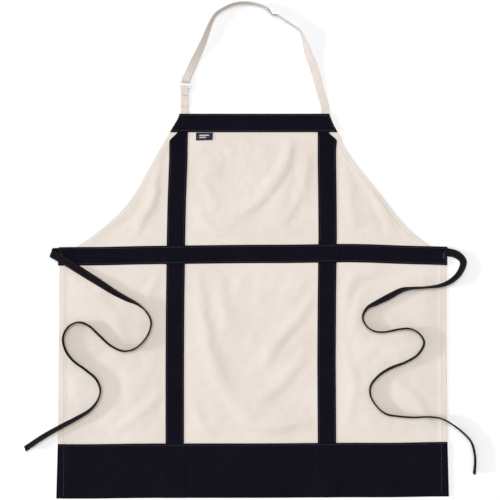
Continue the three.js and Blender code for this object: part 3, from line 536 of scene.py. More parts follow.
def apron_top(x, y):
    """Height of whatever is on top of the laid apron at a point, and 0 beside it."""
    x, y = np.broadcast_arrays(np.asarray(x, float), np.asarray(y, float))
    dx, dy = laid_shift(x, y)
    x, y = x - dx, y - dy
    on_canvas = (np.abs(x) < half_width(y) + MM) & (y > HEM_BOTTOM) & (y < BIB_TOP)
    height = np.where(on_canvas, canvas_top(x, y), 0.0)
    on_waist = (np.abs(y - waist_arch(x)) < BAND_HEIGHT / 2 + MM) & (
        np.abs(x) < SIDE_HALF_WIDTH + BAND_OVERHANG + MM)
    return np.where(on_waist, waist_low(x, y) + WEBBING, height)


# ---- slabs of cloth ----

def grid_normals(mid):
    across = np.gradient(mid, axis=1)
    along = np.gradient(mid, axis=0)
    return unit(np.cross(across, along))


def border_of(rows, columns):
    """Grid places of the border, once round."""
    bottom = [(0, c) for c in range(columns)]
    right = [(r, columns - 1) for r in range(1, rows)]
    top = [(rows - 1, c) for c in range(columns - 2, -1, -1)]
    left = [(r, 0) for r in range(rows - 2, 0, -1)]
    return np.array(bottom + right + top + left)


def slab(name, mid, thickness, uv):
    """Cloth of some thickness on a grid of middle points, closed, with round edges."""
    rows, columns = mid.shape[:2]
    thick = np.broadcast_to(np.asarray(thickness, float), (rows, columns))[..., None]
    normal = grid_normals(mid)
    border = border_of(rows, columns)
    br, bc = border.T
    outward = np.zeros_like(mid)
    outward[0] -= unit(mid[1] - mid[0])
    outward[-1] += unit(mid[-1] - mid[-2])
    outward[:, 0] -= unit(mid[:, 1] - mid[:, 0])
    outward[:, -1] += unit(mid[:, -1] - mid[:, -2])
    outward = unit(outward) * (np.linalg.norm(outward, axis=-1, keepdims=True) > 0.5)
    radius = thick / 2
    top = mid + normal * radius - outward * radius
    low = mid - normal * radius - outward * radius
    turn = math.radians(32)
    pull = outward[br, bc] * radius[br, bc] * (math.cos(turn) - 1)
    rise = normal[br, bc] * radius[br, bc] * math.sin(turn)
    high_ring = mid[br, bc] + pull + rise
    low_ring = mid[br, bc] + pull - rise
    points = np.vstack([top.reshape(-1, 3), low.reshape(-1, 3), high_ring, low_ring])

    count = rows * columns
    index = np.arange(count).reshape(rows, columns)
    a, b = index[:-1, :-1].ravel(), index[:-1, 1:].ravel()
    c, d = index[1:, 1:].ravel(), index[1:, :-1].ravel()
    faces = [np.stack([a, b, c, d], 1), np.stack([a, d, c, b], 1) + count]
    around = index[br, bc]
    length = len(around)
    ring = np.arange(length)
    rings = [around, 2 * count + ring, 2 * count + length + ring, count + around]
    for upper, lower in zip(rings[:-1], rings[1:]):
        faces.append(np.stack([upper, lower, np.roll(lower, -1), np.roll(upper, -1)], 1))
    flat = uv.reshape(-1, 2)
    uvs = np.vstack([flat, flat, uv[br, bc], uv[br, bc]])
    rim = np.zeros((rows, columns))
    rim[0] = rim[-1] = 1
    rim[:, 0] = rim[:, -1] = 1
    rims = np.concatenate([rim.ravel(), rim.ravel(), np.ones(2 * length)])
    return new_mesh(name, points, np.vstack(faces), uvs, rims)


def flat_uv(mid):
    """Cloth coordinates from the distances along the grid's rows and columns."""
    along = np.linalg.norm(np.diff(mid, axis=0), axis=-1).mean(axis=1)
    across = np.linalg.norm(np.diff(mid, axis=1), axis=-1).mean(axis=0)
    v = np.concatenate([[0], np.cumsum(along)])
    u = np.concatenate([[0], np.cumsum(across)])
    u = u - u[-1] / 2
    return np.stack(np.broadcast_arrays(u[None, :], v[:, None]), -1)


def spread(start, end, step):
    return np.linspace(start, end, max(2, int(round(abs(end - start) / step)) + 1))


def edged(start, end, step, rim_steps=(0.0018, 0.0045)):
    """Places from start to end with a few closer ones beside both ends."""
    turn = math.copysign(1, end - start)
    first = [start, *(start + turn * r for r in rim_steps)]
    last = [*(end - turn * r for r in reversed(rim_steps)), end]
    middle = spread(first[-1], last[0], step)[1:-1]
    return np.array([*first, *middle, *last])


# ---- stitches ----

STITCH_PITCH = 3.2 * MM
STITCH_LENGTH = 2.7 * MM
STITCH_WIDTH = 0.5 * MM
STITCH_SIDES = 6
# share of the length, rise in radii and share of the radius along one stitch
STITCH_SHAPE = [(-0.5, -0.7, 0.45), (-0.36, 0.25, 0.9), (0.0, 0.45, 1.0), (0.36, 0.25, 0.9),
                (0.5, -0.7, 0.45)]


def stitch_mesh(name, centres, along, up, length=STITCH_LENGTH, width=STITCH_WIDTH):
    """One short bulged thread at each centre."""
    centres, along = np.asarray(centres, float), unit(along)
    across = unit(np.cross(up, along))
    lift = np.cross(along, across)
    radius = width / 2
    turns = np.arange(STITCH_SIDES) / STITCH_SIDES * 2 * np.pi
    rings = []
    for share, rise, size in STITCH_SHAPE:
        for turn in turns:
            sideways = math.cos(turn) * radius * size
            height = (math.sin(turn) * size + rise) * radius
            rings.append(centres + along * share * length + across * sideways + lift * height)
    points = np.stack(rings, 1).reshape(-1, 3)
    per = len(STITCH_SHAPE) * STITCH_SIDES
    faces = []
    for ring in range(len(STITCH_SHAPE) - 1):
        for k in range(STITCH_SIDES):
            here, after = ring * STITCH_SIDES + k, ring * STITCH_SIDES + (k + 1) % STITCH_SIDES
            faces.append((here, after, after + STITCH_SIDES, here + STITCH_SIDES))
    half = STITCH_SIDES // 2
    for start, order in ((0, 1), (per - STITCH_SIDES, -1)):
        first = [start + k for k in range(half + 1)][::-order]
        second = [start + half + k for k in range(half)] + [start]
        faces.append(tuple(first))
        faces.append(tuple(second[::-order]))
    every = np.array(faces)
    offsets = np.arange(len(centres)) * per
    faces = (every[None] + offsets[:, None, None]).reshape(-1, 4)
    return new_mesh(name, points, faces)


def seam(name, line, up=(0, 0, 1)):
    """A row of stitches along a line of points on the cloth."""
    line = np.asarray(line, float)
    run = run_of(line)
    count = max(1, int(run[-1] / STITCH_PITCH))
    at = (np.arange(count) + 0.5) * run[-1] / count
    centres = placed(at, run, line)
    ahead = placed(at + STITCH_PITCH / 2, run, line)
    behind = placed(at - STITCH_PITCH / 2, run, line)
    ups = np.asarray(up, float)
    if ups.ndim > 1:
        ups = placed(at, run, ups)
    return stitch_mesh(name, centres, ahead - behind, np.broadcast_to(ups, centres.shape))


def bartack(name, centre, along, up):
    """A dense bar of thread: stitches laid side by side, a little askew in turn."""
    along, up = unit(along), unit(up)
    across = np.cross(up, along)
    gap = 0.42 * MM
    count = int(BARTACK_LENGTH / gap)
    at = (np.arange(count) - (count - 1) / 2) * gap
    centres = np.asarray(centre) + at[:, None] * along
    slant = np.where(np.arange(count) % 2 == 0, 0.16, -0.16)[:, None]
    return stitch_mesh(name, centres, across + slant * along,
                       np.broadcast_to(up, centres.shape), BARTACK_DEPTH, 0.46 * MM)


# ---- materials ----

class Paint:
    """A few short ways to wire a procedural material."""

    def __init__(self, name):
        self.material = bpy.data.materials.new(name)
        self.material.use_nodes = True
        self.tree = self.material.node_tree
        self.shader = self.tree.nodes["Principled BSDF"]

    def node(self, kind, inputs=None, **settings):
        node = self.tree.nodes.new(kind)
        for key, value in settings.items():
            setattr(node, key, value)
        for key, value in (inputs or {}).items():
            self.set(node.inputs[key], value)
        return node

    def set(self, socket, value):
        if isinstance(value, bpy.types.NodeSocket):
            self.tree.links.new(value, socket)
        else:
            socket.default_value = value

    def math(self, operation, first, second=0.0):
        return self.node("ShaderNodeMath", {0: first, 1: second}, operation=operation).outputs[0]

    def plus(self, first, second):
        return self.math("ADD", first, second)

    def times(self, first, second):
        return self.math("MULTIPLY", first, second)

    def wave(self, axis, length):
        return self.math("SINE", self.times(axis, 2 * math.pi / length))

    def mix(self, share, first, second):
        node = self.node("ShaderNodeMix", data_type="RGBA")
        self.set(node.inputs[0], share)
        self.set(node.inputs[6], first)
        self.set(node.inputs[7], second)
        return node.outputs[2]

    def noise(self, place, scale, detail=3.0, roughness=0.55):
        inputs = {"Vector": place, "Scale": scale, "Detail": detail, "Roughness": roughness}
        return self.node("ShaderNodeTexNoise", inputs).outputs["Fac"]

    def stretched(self, place, sizes):
        inputs = {"Vector": place, "Scale": sizes}
        return self.node("ShaderNodeMapping", inputs, vector_type="POINT").outputs[0]

    def ranged(self, value, low, high, to_low, to_high):
        inputs = {0: value, 1: low, 2: high, 3: to_low, 4: to_high}
        return self.node("ShaderNodeMapRange", inputs).outputs[0]

    def bump(self, height, strength, distance, normal=None):
        inputs = {"Height": height, "Strength": strength, "Distance": distance}
        node = self.node("ShaderNodeBump", inputs)
        if normal is not None:
            self.set(node.inputs["Normal"], normal)
        return node.outputs[0]

    def cloth_place(self):
        return self.node("ShaderNodeUVMap", uv_map="cloth").outputs[0]

    def cloth_axes(self):
        split = self.node("ShaderNodeSeparateXYZ", {0: self.cloth_place()})
        return split.outputs[0], split.outputs[1]

    def finish(self, **values):
        for key, value in values.items():
            self.set(self.shader.inputs[key.replace("_", " ")], value)
        return self.material


def rgb(red, green, blue):
    return (red, green, blue, 1.0)


def plain_weave(paint, pitch):
    """Height of a plain weave: warp and weft threads in turn on top."""
    u, v = paint.cloth_axes()
    warp = paint.math("SINE", paint.times(u, math.pi / pitch))
    weft = paint.math("SINE", paint.times(v, math.pi / pitch))
    turn = paint.times(warp, weft)
    over = paint.ranged(turn, -0.35, 0.35, 0.0, 1.0)
    warp_round = paint.math("SQRT", paint.math("ABSOLUTE", warp))
    weft_round = paint.math("SQRT", paint.math("ABSOLUTE", weft))
    first = paint.times(warp_round, over)
    under = paint.math("SUBTRACT", 1.0, over)
    return paint.plus(first, paint.times(weft_round, under))


def canvas_paint(name, light, dark):
    """Natural cotton canvas: plain weave with painted shade between its threads, thick slubs, faint
    mottling and specks of husk.
    """
    paint = Paint(name)
    place = paint.cloth_place()
    weave = plain_weave(paint, 0.85 * MM)
    weft_slub = paint.noise(paint.stretched(place, (38, 900, 1)), 1.0, 2.0)
    warp_slub = paint.noise(paint.stretched(place, (900, 38, 1)), 1.0, 2.0)
    slub = paint.plus(weft_slub, warp_slub)
    cloud = paint.noise(place, 9.0, 4.0, 0.6)
    tone = paint.plus(paint.times(cloud, 0.9), paint.times(slub, 0.45))
    colour = paint.mix(paint.ranged(tone, 0.62, 1.18, 0.0, 1.0), dark, light)
    # Painted shade: the low places between the weave's threads are mixed towards a dark brown.
    gap_shade = paint.ranged(weave, 0.15, 0.75, 0.16, 0.0)
    colour = paint.mix(gap_shade, colour, rgb(0.33, 0.28, 0.23))
    husk = paint.ranged(paint.noise(place, 620.0, 1.0), 0.765, 0.79, 0.0, 0.35)
    colour = paint.mix(husk, colour, rgb(0.28, 0.20, 0.13))
    height = paint.plus(weave, paint.times(slub, 0.5))
    fine = paint.bump(height, 0.35, 0.16 * MM)
    soft = paint.bump(paint.noise(place, 26.0, 3.0), 0.20, 1.6 * MM, fine)
    return paint.finish(Base_Color=colour, Roughness=0.92, Specular_IOR_Level=0.18,
                        Sheen_Weight=0.12, Sheen_Roughness=0.5, Normal=soft)


def webbing_paint(name, deep, faded_and_edge_lit):
    """Dark cotton twill webbing: fine diagonal ribs with painted shade in their grooves, faded
    threads, a painted highlight along the edges and lint.
    """
    paint = Paint(name)
    place = paint.cloth_place()
    u, v = paint.cloth_axes()
    pitch = 1.05 * MM
    diagonal = paint.plus(u, paint.times(v, 0.62))
    rib = paint.wave(diagonal, pitch)
    weft = paint.wave(v, 0.55 * MM)
    fade = paint.noise(paint.stretched(place, (14, 900, 1)), 1.0, 2.0)
    cloud = paint.noise(place, 16.0, 4.0, 0.6)
    # Painted highlight: the rim of every slab, where its edge rounds over, is mixed towards the
    # paler colour.
    rim = paint.node("ShaderNodeAttribute", attribute_name="rim").outputs["Fac"]
    painted_edge_highlight = paint.times(rim, 0.55)
    tone = paint.plus(paint.times(fade, 0.5), paint.times(cloud, 0.7))
    share = paint.plus(paint.ranged(tone, 0.45, 0.85, 0.0, 0.7), painted_edge_highlight)
    share = paint.math("MINIMUM", share, 1.0)
    colour = paint.mix(share, deep, faded_and_edge_lit)
    # Painted shade: the grooves between the ribs are mixed towards near black.
    groove_shade = paint.ranged(rib, -1.0, 0.2, 0.55, 0.0)
    colour = paint.mix(groove_shade, colour, rgb(0.002, 0.002, 0.004))
    lint = paint.ranged(paint.noise(place, 900.0, 1.0), 0.79, 0.83, 0.0, 0.12)
    colour = paint.mix(lint, colour, rgb(0.30, 0.29, 0.28))
    height = paint.plus(rib, paint.times(weft, 0.35))
    ribs = paint.bump(height, 0.45, 0.14 * MM)
    soft = paint.bump(paint.noise(place, 34.0, 3.0), 0.18, 1.2 * MM, ribs)
    return paint.finish(Base_Color=colour, Roughness=0.90, Specular_IOR_Level=0.06,
                        Normal=soft)


def tape_paint(name, light, dark, pitch, depth, gloss=0.15, fuzz=0.06):
    """Herringbone cotton tape: slanted ribs that meet along the middle, between firm edges."""
    paint = Paint(name)
    place = paint.cloth_place()
    u, v = paint.cloth_axes()
    slanted = paint.plus(v, paint.math("ABSOLUTE", u))
    rib = paint.wave(slanted, pitch)
    warp = paint.wave(u, 0.6 * MM)
    cloud = paint.noise(place, 45.0, 4.0, 0.6)
    yarn = paint.noise(paint.stretched(place, (1100, 60, 1)), 1.0, 2.0)
    tone = paint.plus(paint.times(cloud, 0.7), paint.times(yarn, 0.5))
    colour = paint.mix(paint.ranged(tone, 0.35, 0.9, 0.0, 1.0), dark, light)
    shade = paint.mix(0.5, colour, dark)
    colour = paint.mix(paint.ranged(rib, -1.0, 0.3, 0.4, 0.0), colour, shade)
    height = paint.plus(rib, paint.times(warp, 0.4))
    ribs = paint.bump(height, depth, 0.12 * MM)
    return paint.finish(Base_Color=colour, Roughness=0.88, Specular_IOR_Level=gloss,
                        Sheen_Weight=fuzz, Sheen_Roughness=0.45, Normal=ribs)


def thread_paint(name, colour, shade):
    """Twisted sewing thread with a slight gloss."""
    paint = Paint(name)
    place = paint.node("ShaderNodeTexCoord").outputs["Object"]
    inputs = {"Vector": place, "Scale": 900.0, "Distortion": 1.0, "Detail": 1.0}
    twist = paint.node("ShaderNodeTexWave", inputs, bands_direction="DIAGONAL").outputs["Fac"]
    cloud = paint.noise(place, 60.0, 2.0)
    share = paint.times(paint.plus(twist, cloud), 0.5)
    return paint.finish(Base_Color=paint.mix(share, shade, colour), Roughness=0.6,
                        Specular_IOR_Level=0.25, Normal=paint.bump(twist, 0.4, 0.08 * MM))


def label_paint(name):
    """A woven label: dark satin ground, a thin pale frame and two plain pale bars, no words."""
    paint = Paint(name)
    place = paint.cloth_place()
    u, v = paint.cloth_axes()

    def bar(u_from, u_to, v_from, v_to):
        inside = None
        for axis, low, high in ((u, u_from, u_to), (v, v_from, v_to)):
            above = paint.math("GREATER_THAN", axis, low)
            below = paint.math("LESS_THAN", axis, high)
            both = paint.times(above, below)
            inside = both if inside is None else paint.times(inside, both)
        return inside

    long_bar = bar(-0.0105, 0.0095, 0.0094, 0.0118)
    short_bar = bar(-0.0105, 0.0035, 0.0052, 0.0074)
    marks = paint.math("MAXIMUM", long_bar, short_bar)
    satin = paint.wave(v, 0.30 * MM)
    warp = paint.wave(u, 0.42 * MM)
    cloud = paint.noise(place, 240.0, 2.0)
    ground = paint.mix(cloud, rgb(0.006, 0.007, 0.016), rgb(0.014, 0.015, 0.030))
    pale = paint.mix(cloud, rgb(0.50, 0.50, 0.52), rgb(0.62, 0.62, 0.64))
    height = paint.plus(satin, paint.times(warp, 0.6))
    height = paint.plus(height, paint.times(marks, 1.5))
    return paint.finish(Base_Color=paint.mix(marks, ground, pale), Roughness=0.55,
                        Specular_IOR_Level=0.25, Normal=paint.bump(height, 0.35, 0.08 * MM))


def metal_paint(name):
    """Bright nickel plating with fine rub marks."""
    paint = Paint(name)
    place = paint.node("ShaderNodeTexCoord").outputs["Object"]
    rubbed = paint.noise(paint.stretched(place, (260, 1500, 900)), 1.0, 4.0, 0.7)
    cloud = paint.noise(place, 180.0, 3.0)
    roughness = paint.ranged(rubbed, 0.3, 0.75, 0.10, 0.32)
    colour = paint.mix(cloud, rgb(0.56, 0.55, 0.55), rgb(0.70, 0.70, 0.69))
    return paint.finish(Base_Color=colour, Metallic=1.0, Roughness=roughness,
                        Normal=paint.bump(rubbed, 0.06, 0.05 * MM))


CANVAS = canvas_paint("natural_canvas", rgb(0.757, 0.692, 0.636), rgb(0.664, 0.596, 0.536))
WEBBING_CLOTH = webbing_paint("navy_webbing", rgb(0.0042, 0.0038, 0.0092),
                              rgb(0.0088, 0.0080, 0.0158))
NECK_TAPE = tape_paint("ecru_tape", rgb(0.750, 0.680, 0.625), rgb(0.632, 0.560, 0.500),
                       2.0 * MM, 0.35)
TIE_TAPE = tape_paint("dark_tape", rgb(0.0125, 0.0104, 0.0145), rgb(0.0050, 0.0040, 0.0064),
                      1.6 * MM, 0.35, 0.06, 0.0)
NAVY_THREAD = thread_paint("grey_thread", rgb(0.115, 0.105, 0.095), rgb(0.060, 0.055, 0.052))
NATURAL_THREAD = thread_paint("natural_thread", rgb(0.60, 0.55, 0.48), rgb(0.42, 0.37, 0.31))
LABEL_CLOTH = label_paint("woven_label")
METAL = metal_paint("bright_nickel")


def dress(obj, material, nodes=(), body="apron", shifted=True):
    obj.data.materials.append(material)
    if body == "apron" and shifted:
        settle(obj)
    if nodes:
        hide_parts(*nodes)
    if body:
        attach(obj, body)
    return obj


# ---- canvas panel ----

def panel_rows():
    bottom = HEM_BOTTOM + CLOTH + CLEARANCE + 0.6 * MM
    skirt = spread(bottom, 0.0, 4.6 * MM)
    low_bib = spread(0.0, 0.060, 2.4 * MM)[1:]
    high_bib = spread(0.060, BIB_TOP - BIB_SEAM_ALLOWANCE, 4.2 * MM)[1:]
    return np.concatenate([skirt, low_bib, high_bib])


SKIRT_RETURN = 0.0125
ARMHOLE_RETURN = 0.0012


def above_skirt(y):
    """0 on the skirt, and 1 above the waist, where the side hem has run out."""
    return smooth((y + 0.006) / 0.026)


def return_width(y):
    """Width of the cloth turned back under the side edge: a hem on the skirt, less above it."""
    return SKIRT_RETURN + (ARMHOLE_RETURN - SKIRT_RETURN) * above_skirt(y)


def panel_section(y):
    """Half a row of the panel, from the middle to the edge, round it and back underneath."""
    half = float(half_width(y))
    steep = float(edge_steepness(y))
    hem = 1 - float(above_skirt(y))
    edge_low = float(canvas_low(half, y))
    turned_thick = (0.85 + 0.15 * hem) * MM
    under_z = float(relief(half, y)) + turned_thick / 2
    if y < 0:
        under_z += float(row_lift(y))
    top_z = edge_low + CLOTH / 2
    radius = (top_z - under_z) / 2
    middle_z = (top_z + under_z) / 2
    offsets = np.array([18, 16, 14.6, 13.2, 11, 8.5, 6, 4, 2.6]) * MM / steep
    inner = np.linspace(0, half - 0.021 / steep, 62)
    main_x = np.concatenate([inner, half - offsets, [half - radius]])
    main_z = canvas_low(main_x, np.full_like(main_x, y)) + CLOTH / 2
    turn = np.radians([60, 30, 0, -30, -60, -90])
    fold_x = half - radius + radius * np.cos(turn)
    fold_z = middle_z + radius * np.sin(turn)
    under = np.array([0.25, 0.5, 0.75, 1.0]) * float(return_width(y))
    under_x = half - radius - under
    x = np.concatenate([main_x, fold_x, under_x])
    z = np.concatenate([main_z, fold_z, np.full(4, under_z)])
    blend = np.concatenate([np.zeros(len(main_x)), (90 - np.degrees(turn)) / 180, np.ones(4)])
    thick = CANVAS_DRAWN + (turned_thick - CANVAS_DRAWN) * smooth(blend)
    return x, z, thick


def canvas_panel():
    grid, thick, uv = [], [], []
    for y in panel_rows():
        x, z, t = panel_section(y)
        right = np.stack([x, np.full_like(x, y), z], 1)
        left_z = z.copy()
        main = x.argmax() - 2
        left_z[:main] = canvas_low(-x[:main], np.full(main, y)) + CLOTH / 2
        left = np.stack([-x, np.full_like(x, y), left_z], 1)[::-1]
        row = np.vstack([left[:-1], right])
        grid.append(row)
        thick.append(np.concatenate([t[::-1][:-1], t]))
        run = run_of(row)
        uv.append(np.stack([run - run[-1] / 2, np.full(len(run), y)], 1))
    panel = slab("canvas", np.array(grid), np.array(thick), np.array(uv))
    return dress(panel, CANVAS, ["canvas_panel"])


def armhole_facing(name, side):
    """A strip of canvas sewn under each armhole edge."""
    outer_gap = 2.3 * MM
    ys = spread(FACING_START, BIB_BOTTOM - CLEARANCE, 3.5 * MM)
    rows = []
    for y in ys:
        half, steep = float(half_width(y)), float(edge_steepness(y))
        offsets = np.linspace(outer_gap, ARMHOLE_FACING, 5) / steep
        x = side * (half - offsets)
        z = relief(x, np.full_like(x, y)) + CLOTH / 2
        rows.append(np.stack([x, np.full_like(x, y), z], 1))
    mid = np.array(rows)
    piece = slab(f"{name}_facing", mid, 0.85 * MM, flat_uv(mid))
    return dress(piece, CANVAS, [f"{name}_armhole_facing"])


def armhole_line(side, inset):
    ys = spread(FACING_START + 2 * MM, BIB_BOTTOM - 0.004, 2.5 * MM)
    x = side * (half_width(ys) - inset / edge_steepness(ys))
    z = canvas_top(x, ys)
    return np.stack([x, ys, z], 1)


def side_hem_line(side, inset):
    ys = spread(HEM_TOP + MM, -BAND_HEIGHT / 2 - WAIST_ARCH - MM, 5 * MM)
    x = side * (half_width(ys) - inset)
    return np.stack([x, ys, canvas_top(x, ys)], 1)


# ---- bands and straps ----

STRAP_CORNER_CUT = 0.017
STRAP_CUT_START = 0.020
STRAP_CUT_RUN = 0.024


def front_strap(name, side):
    """Webbing up the front. Its outer top corner is cut along the armhole edge."""
    ys = np.concatenate([spread(HEM_BOTTOM + 2 * MM, BIB_BOTTOM - 0.024, 5 * MM),
                         spread(BIB_BOTTOM - 0.024, BIB_TOP - BIB_SEAM_ALLOWANCE, 2 * MM)[1:]])
    rows = []
    for y in ys:
        middle = float(strap_middle(side, y))
        cut = STRAP_CORNER_CUT * float(smooth((y - BIB_BOTTOM + STRAP_CUT_START) / STRAP_CUT_RUN))
        reach = STRAP_HALF - cut
        u = edged(-STRAP_HALF, reach, 4.5 * MM)
        x = middle + side * u
        z = strap_low(x, np.full_like(x, y)) + WEBBING / 2
        rows.append(np.stack([x, np.full_like(x, y), z], 1))
    count = min(len(row) for row in rows)
    shares = np.linspace(0, 1, count)
    mid = np.array([placed(shares, np.linspace(0, 1, len(row)), row) for row in rows])
    uv = np.stack([mid[..., 0] * side, mid[..., 1]], -1)
    piece = slab(f"{name}_strap", mid, WEBBING_DRAWN, uv)
    return dress(piece, WEBBING_CLOTH, [f"{name}_front_strap"])


def strap_line(side, inset, y_from, y_to):
    ys = spread(y_from, y_to, 4 * MM)
    x = strap_middle(side, ys) + side * inset
    z = strap_low(x, ys) + WEBBING / 2 + WEBBING_DRAWN / 2
    return np.stack([x, ys, z], 1)


def band_columns(half):
    """Places along a band, closer together where it climbs over a strap."""
    near = STRAP_HALF + 0.012
    inner, outer = STRAP_X - near, STRAP_X + near
    parts = [spread(0, inner, 5 * MM)]
    if half > outer + 0.02:
        parts += [spread(inner, outer, 2 * MM)[1:], edged(outer, half, 5 * MM)[3:]]
    else:
        parts.append(edged(inner, half, 2 * MM)[2:])
    right = np.concatenate(parts)
    return np.concatenate([-right[::-1][:-1], right])


def waist_band():
    x = band_columns(SIDE_HALF_WIDTH + BAND_OVERHANG)
    v = edged(-BAND_HEIGHT / 2, BAND_HEIGHT / 2, 3.5 * MM)
    xx, vv = np.meshgrid(x, v)
    yy = vv + waist_arch(xx)
    mid = np.stack([xx, yy, waist_low(xx, yy) + WEBBING / 2], -1)
    piece = slab("waist_webbing", mid, WEBBING_DRAWN, np.stack([vv, xx], -1))
    return dress(piece, WEBBING_CLOTH, ["waist_band"])


BIB_WIDENS_FROM = 0.120
HEM_FLARES_FROM = 0.300
HEM_FLARE = 3 * MM


def bib_grid(height):
    x = band_columns(BIB_TOP_HALF_WIDTH)
    v = edged(0, BAND_HEIGHT, 3.5 * MM)
    xx, vv = np.meshgrid(x, v)
    share = smooth((np.abs(xx) - BIB_WIDENS_FROM) / (BIB_TOP_HALF_WIDTH - BIB_WIDENS_FROM))
    widen = (BIB_BOTTOM_HALF_WIDTH - BIB_TOP_HALF_WIDTH) * (1 - vv / BAND_HEIGHT)
    xx = xx + np.sign(xx) * widen * share
    yy = vv + BIB_BOTTOM
    return np.stack([xx, yy, height(xx, yy)], -1), np.stack([vv, xx], -1)


def bib_bands():
    mid, uv = bib_grid(lambda x, y: bib_low(x, y) + WEBBING / 2)
    front = slab("bib_webbing", mid, WEBBING_DRAWN, uv)
    dress(front, WEBBING_CLOTH, ["bib_band"])
    mid, uv = bib_grid(lambda x, y: relief(x, y) + CLOTH / 2)
    back = slab("bib_webbing_back", mid, TAPE_DRAWN, uv)
    dress(back, WEBBING_CLOTH, ["bib_band_back"])


def hem_band():
    """One strip that comes down the front, folds round the bottom edge and ends on the back."""
    x = band_columns(HEM_HALF_WIDTH)
    thick = CANVAS_DRAWN
    columns = []
    for place in x:
        y = edged(HEM_TOP, HEM_BOTTOM + 0.006, 5 * MM)[:-2]
        front_z = hem_low(np.full_like(y, place), y) + CLOTH / 2
        back_z = float(relief(place, HEM_BOTTOM)) + CLOTH / 2
        low_z = float(hem_low(place, HEM_BOTTOM + 0.003)) + CLOTH / 2
        radius = (low_z - back_z) / 2
        centre_y = HEM_BOTTOM + radius + thick / 2
        turn = np.radians([90, 60, 30, 0, -30, -60, -90])
        fold = np.stack([centre_y - radius * np.cos(turn), back_z + radius
                         + radius * np.sin(turn)], 1)
        back_y = edged(centre_y + 2 * MM, HEM_BOTTOM + HEM_TURN_UP, 5 * MM)
        back = np.stack([back_y, relief(np.full_like(back_y, place), back_y) + CLOTH / 2], 1)
        columns.append(np.vstack([np.stack([y, front_z], 1), fold, back]))
    rows = np.array(columns).transpose(1, 0, 2)
    rise = np.clip((rows[..., 0] - HEM_BOTTOM) / (HEM_TOP - HEM_BOTTOM), 0, 1)
    share = smooth((np.abs(x) - HEM_FLARES_FROM) / (HEM_HALF_WIDTH - HEM_FLARES_FROM))
    xx = x[None, :] - np.sign(x)[None, :] * HEM_FLARE * rise * share[None, :]
    mid = np.stack([xx, rows[..., 0], rows[..., 1]], -1)
    uv = flat_uv(mid)
    piece = slab("hem_band_cloth", mid, thick, uv)
    return dress(piece, WEBBING_CLOTH, ["hem_band"])


def flat_line(x_from, x_to, y, height, lift):
    x = spread(x_from, x_to, 3 * MM)
    ys = y(x)
    return np.stack([x, ys, height(x, ys) + lift], 1)


def dress_seam(name, line, material, *nodes):
    return dress(seam(name, line), material, nodes)


def band_seams():
    top = WEBBING / 2 + WEBBING_DRAWN / 2
    end = SIDE_HALF_WIDTH + BAND_OVERHANG - SEAM_INSET
    for edge, name in ((-1, "bottom"), (1, "top")):
        inset = edge * (BAND_HEIGHT / 2 - SEAM_INSET)
        line = flat_line(-end, end, lambda x: inset + waist_arch(x), waist_low, top)
        dress_seam(f"waist_{name}_stitches", line, NAVY_THREAD, f"waist_band_{name}_seam")
        y = (BIB_BOTTOM + BIB_TOP) / 2 + inset
        reach = float(half_width(y)) - SEAM_INSET
        line = flat_line(-reach, reach, lambda x: np.full_like(x, y), bib_low, top)
        dress_seam(f"bib_{name}_stitches", line, NAVY_THREAD, f"bib_band_{name}_seam")
    reach = HEM_HALF_WIDTH - HEM_FLARE - SEAM_INSET
    hem_top = CLOTH / 2 + 0.48 * MM
    y = HEM_TOP - SEAM_INSET
    line = flat_line(-reach, reach, lambda x: np.full_like(x, y), hem_low, hem_top)
    dress_seam("hem_top_stitches", line, NAVY_THREAD, "hem_band_top_seam")
    for side, name in ((-1, "left"), (1, "right")):
        ys = spread(-BAND_HEIGHT / 2 + SEAM_INSET, BAND_HEIGHT / 2 - SEAM_INSET, 3 * MM)
        x = np.full_like(ys, side * end)
        ys = ys + waist_arch(x)
        line = np.stack([x, ys, waist_low(x, ys) + top], 1)
        dress_seam(f"{name}_waist_end_stitches", line, NAVY_THREAD)
        ys = spread(HEM_BOTTOM + 0.006, HEM_TOP - SEAM_INSET - 0.002, 4 * MM)
        x = side * (half_width(ys) + 1.5 * MM - SIDE_HEM)
        line = np.stack([x, ys, hem_low(x, ys) + hem_top], 1)
        dress_seam(f"{name}_hem_side_stitches", line, NAVY_THREAD)
        ys = spread(BIB_BOTTOM + SEAM_INSET, BIB_TOP - SEAM_INSET, 3 * MM)
        x = side * (half_width(ys) - SEAM_INSET)
        line = np.stack([x, ys, bib_low(x, ys) + top], 1)
        dress_seam(f"{name}_bib_end_stitches", line, NAVY_THREAD)


def strap_and_canvas_seams(name, side):
    under_band = BAND_HEIGHT / 2 + WAIST_ARCH + CLEARANCE
    spans = (("skirt", HEM_TOP + CLEARANCE, -under_band),
             ("bib", under_band, BIB_BOTTOM - 0.010))
    for edge, inset in (("inner", -STRAP_HALF + SEAM_INSET), ("outer", STRAP_HALF - SEAM_INSET)):
        for part, y_from, y_to in spans:
            last = y_to - 0.012 if (edge, part) == ("outer", "bib") else y_to
            line = strap_line(side, inset, y_from, last)
            dress_seam(f"{name}_{edge}_{part}_stitches", line, NAVY_THREAD,
                       f"{name}_strap_{edge}_seam_{part}")
    line = armhole_line(side, ARMHOLE_FACING - SEAM_INSET)
    clear = np.abs(line[:, 0]) > STRAP_X + STRAP_HALF + MM
    dress_seam(f"{name}_armhole_stitches", line[clear], NATURAL_THREAD, f"{name}_armhole_seam")
    line = side_hem_line(side, SIDE_HEM - SEAM_INSET)
    dress_seam(f"{name}_side_stitches", line, NATURAL_THREAD, f"{name}_side_hem_seam")


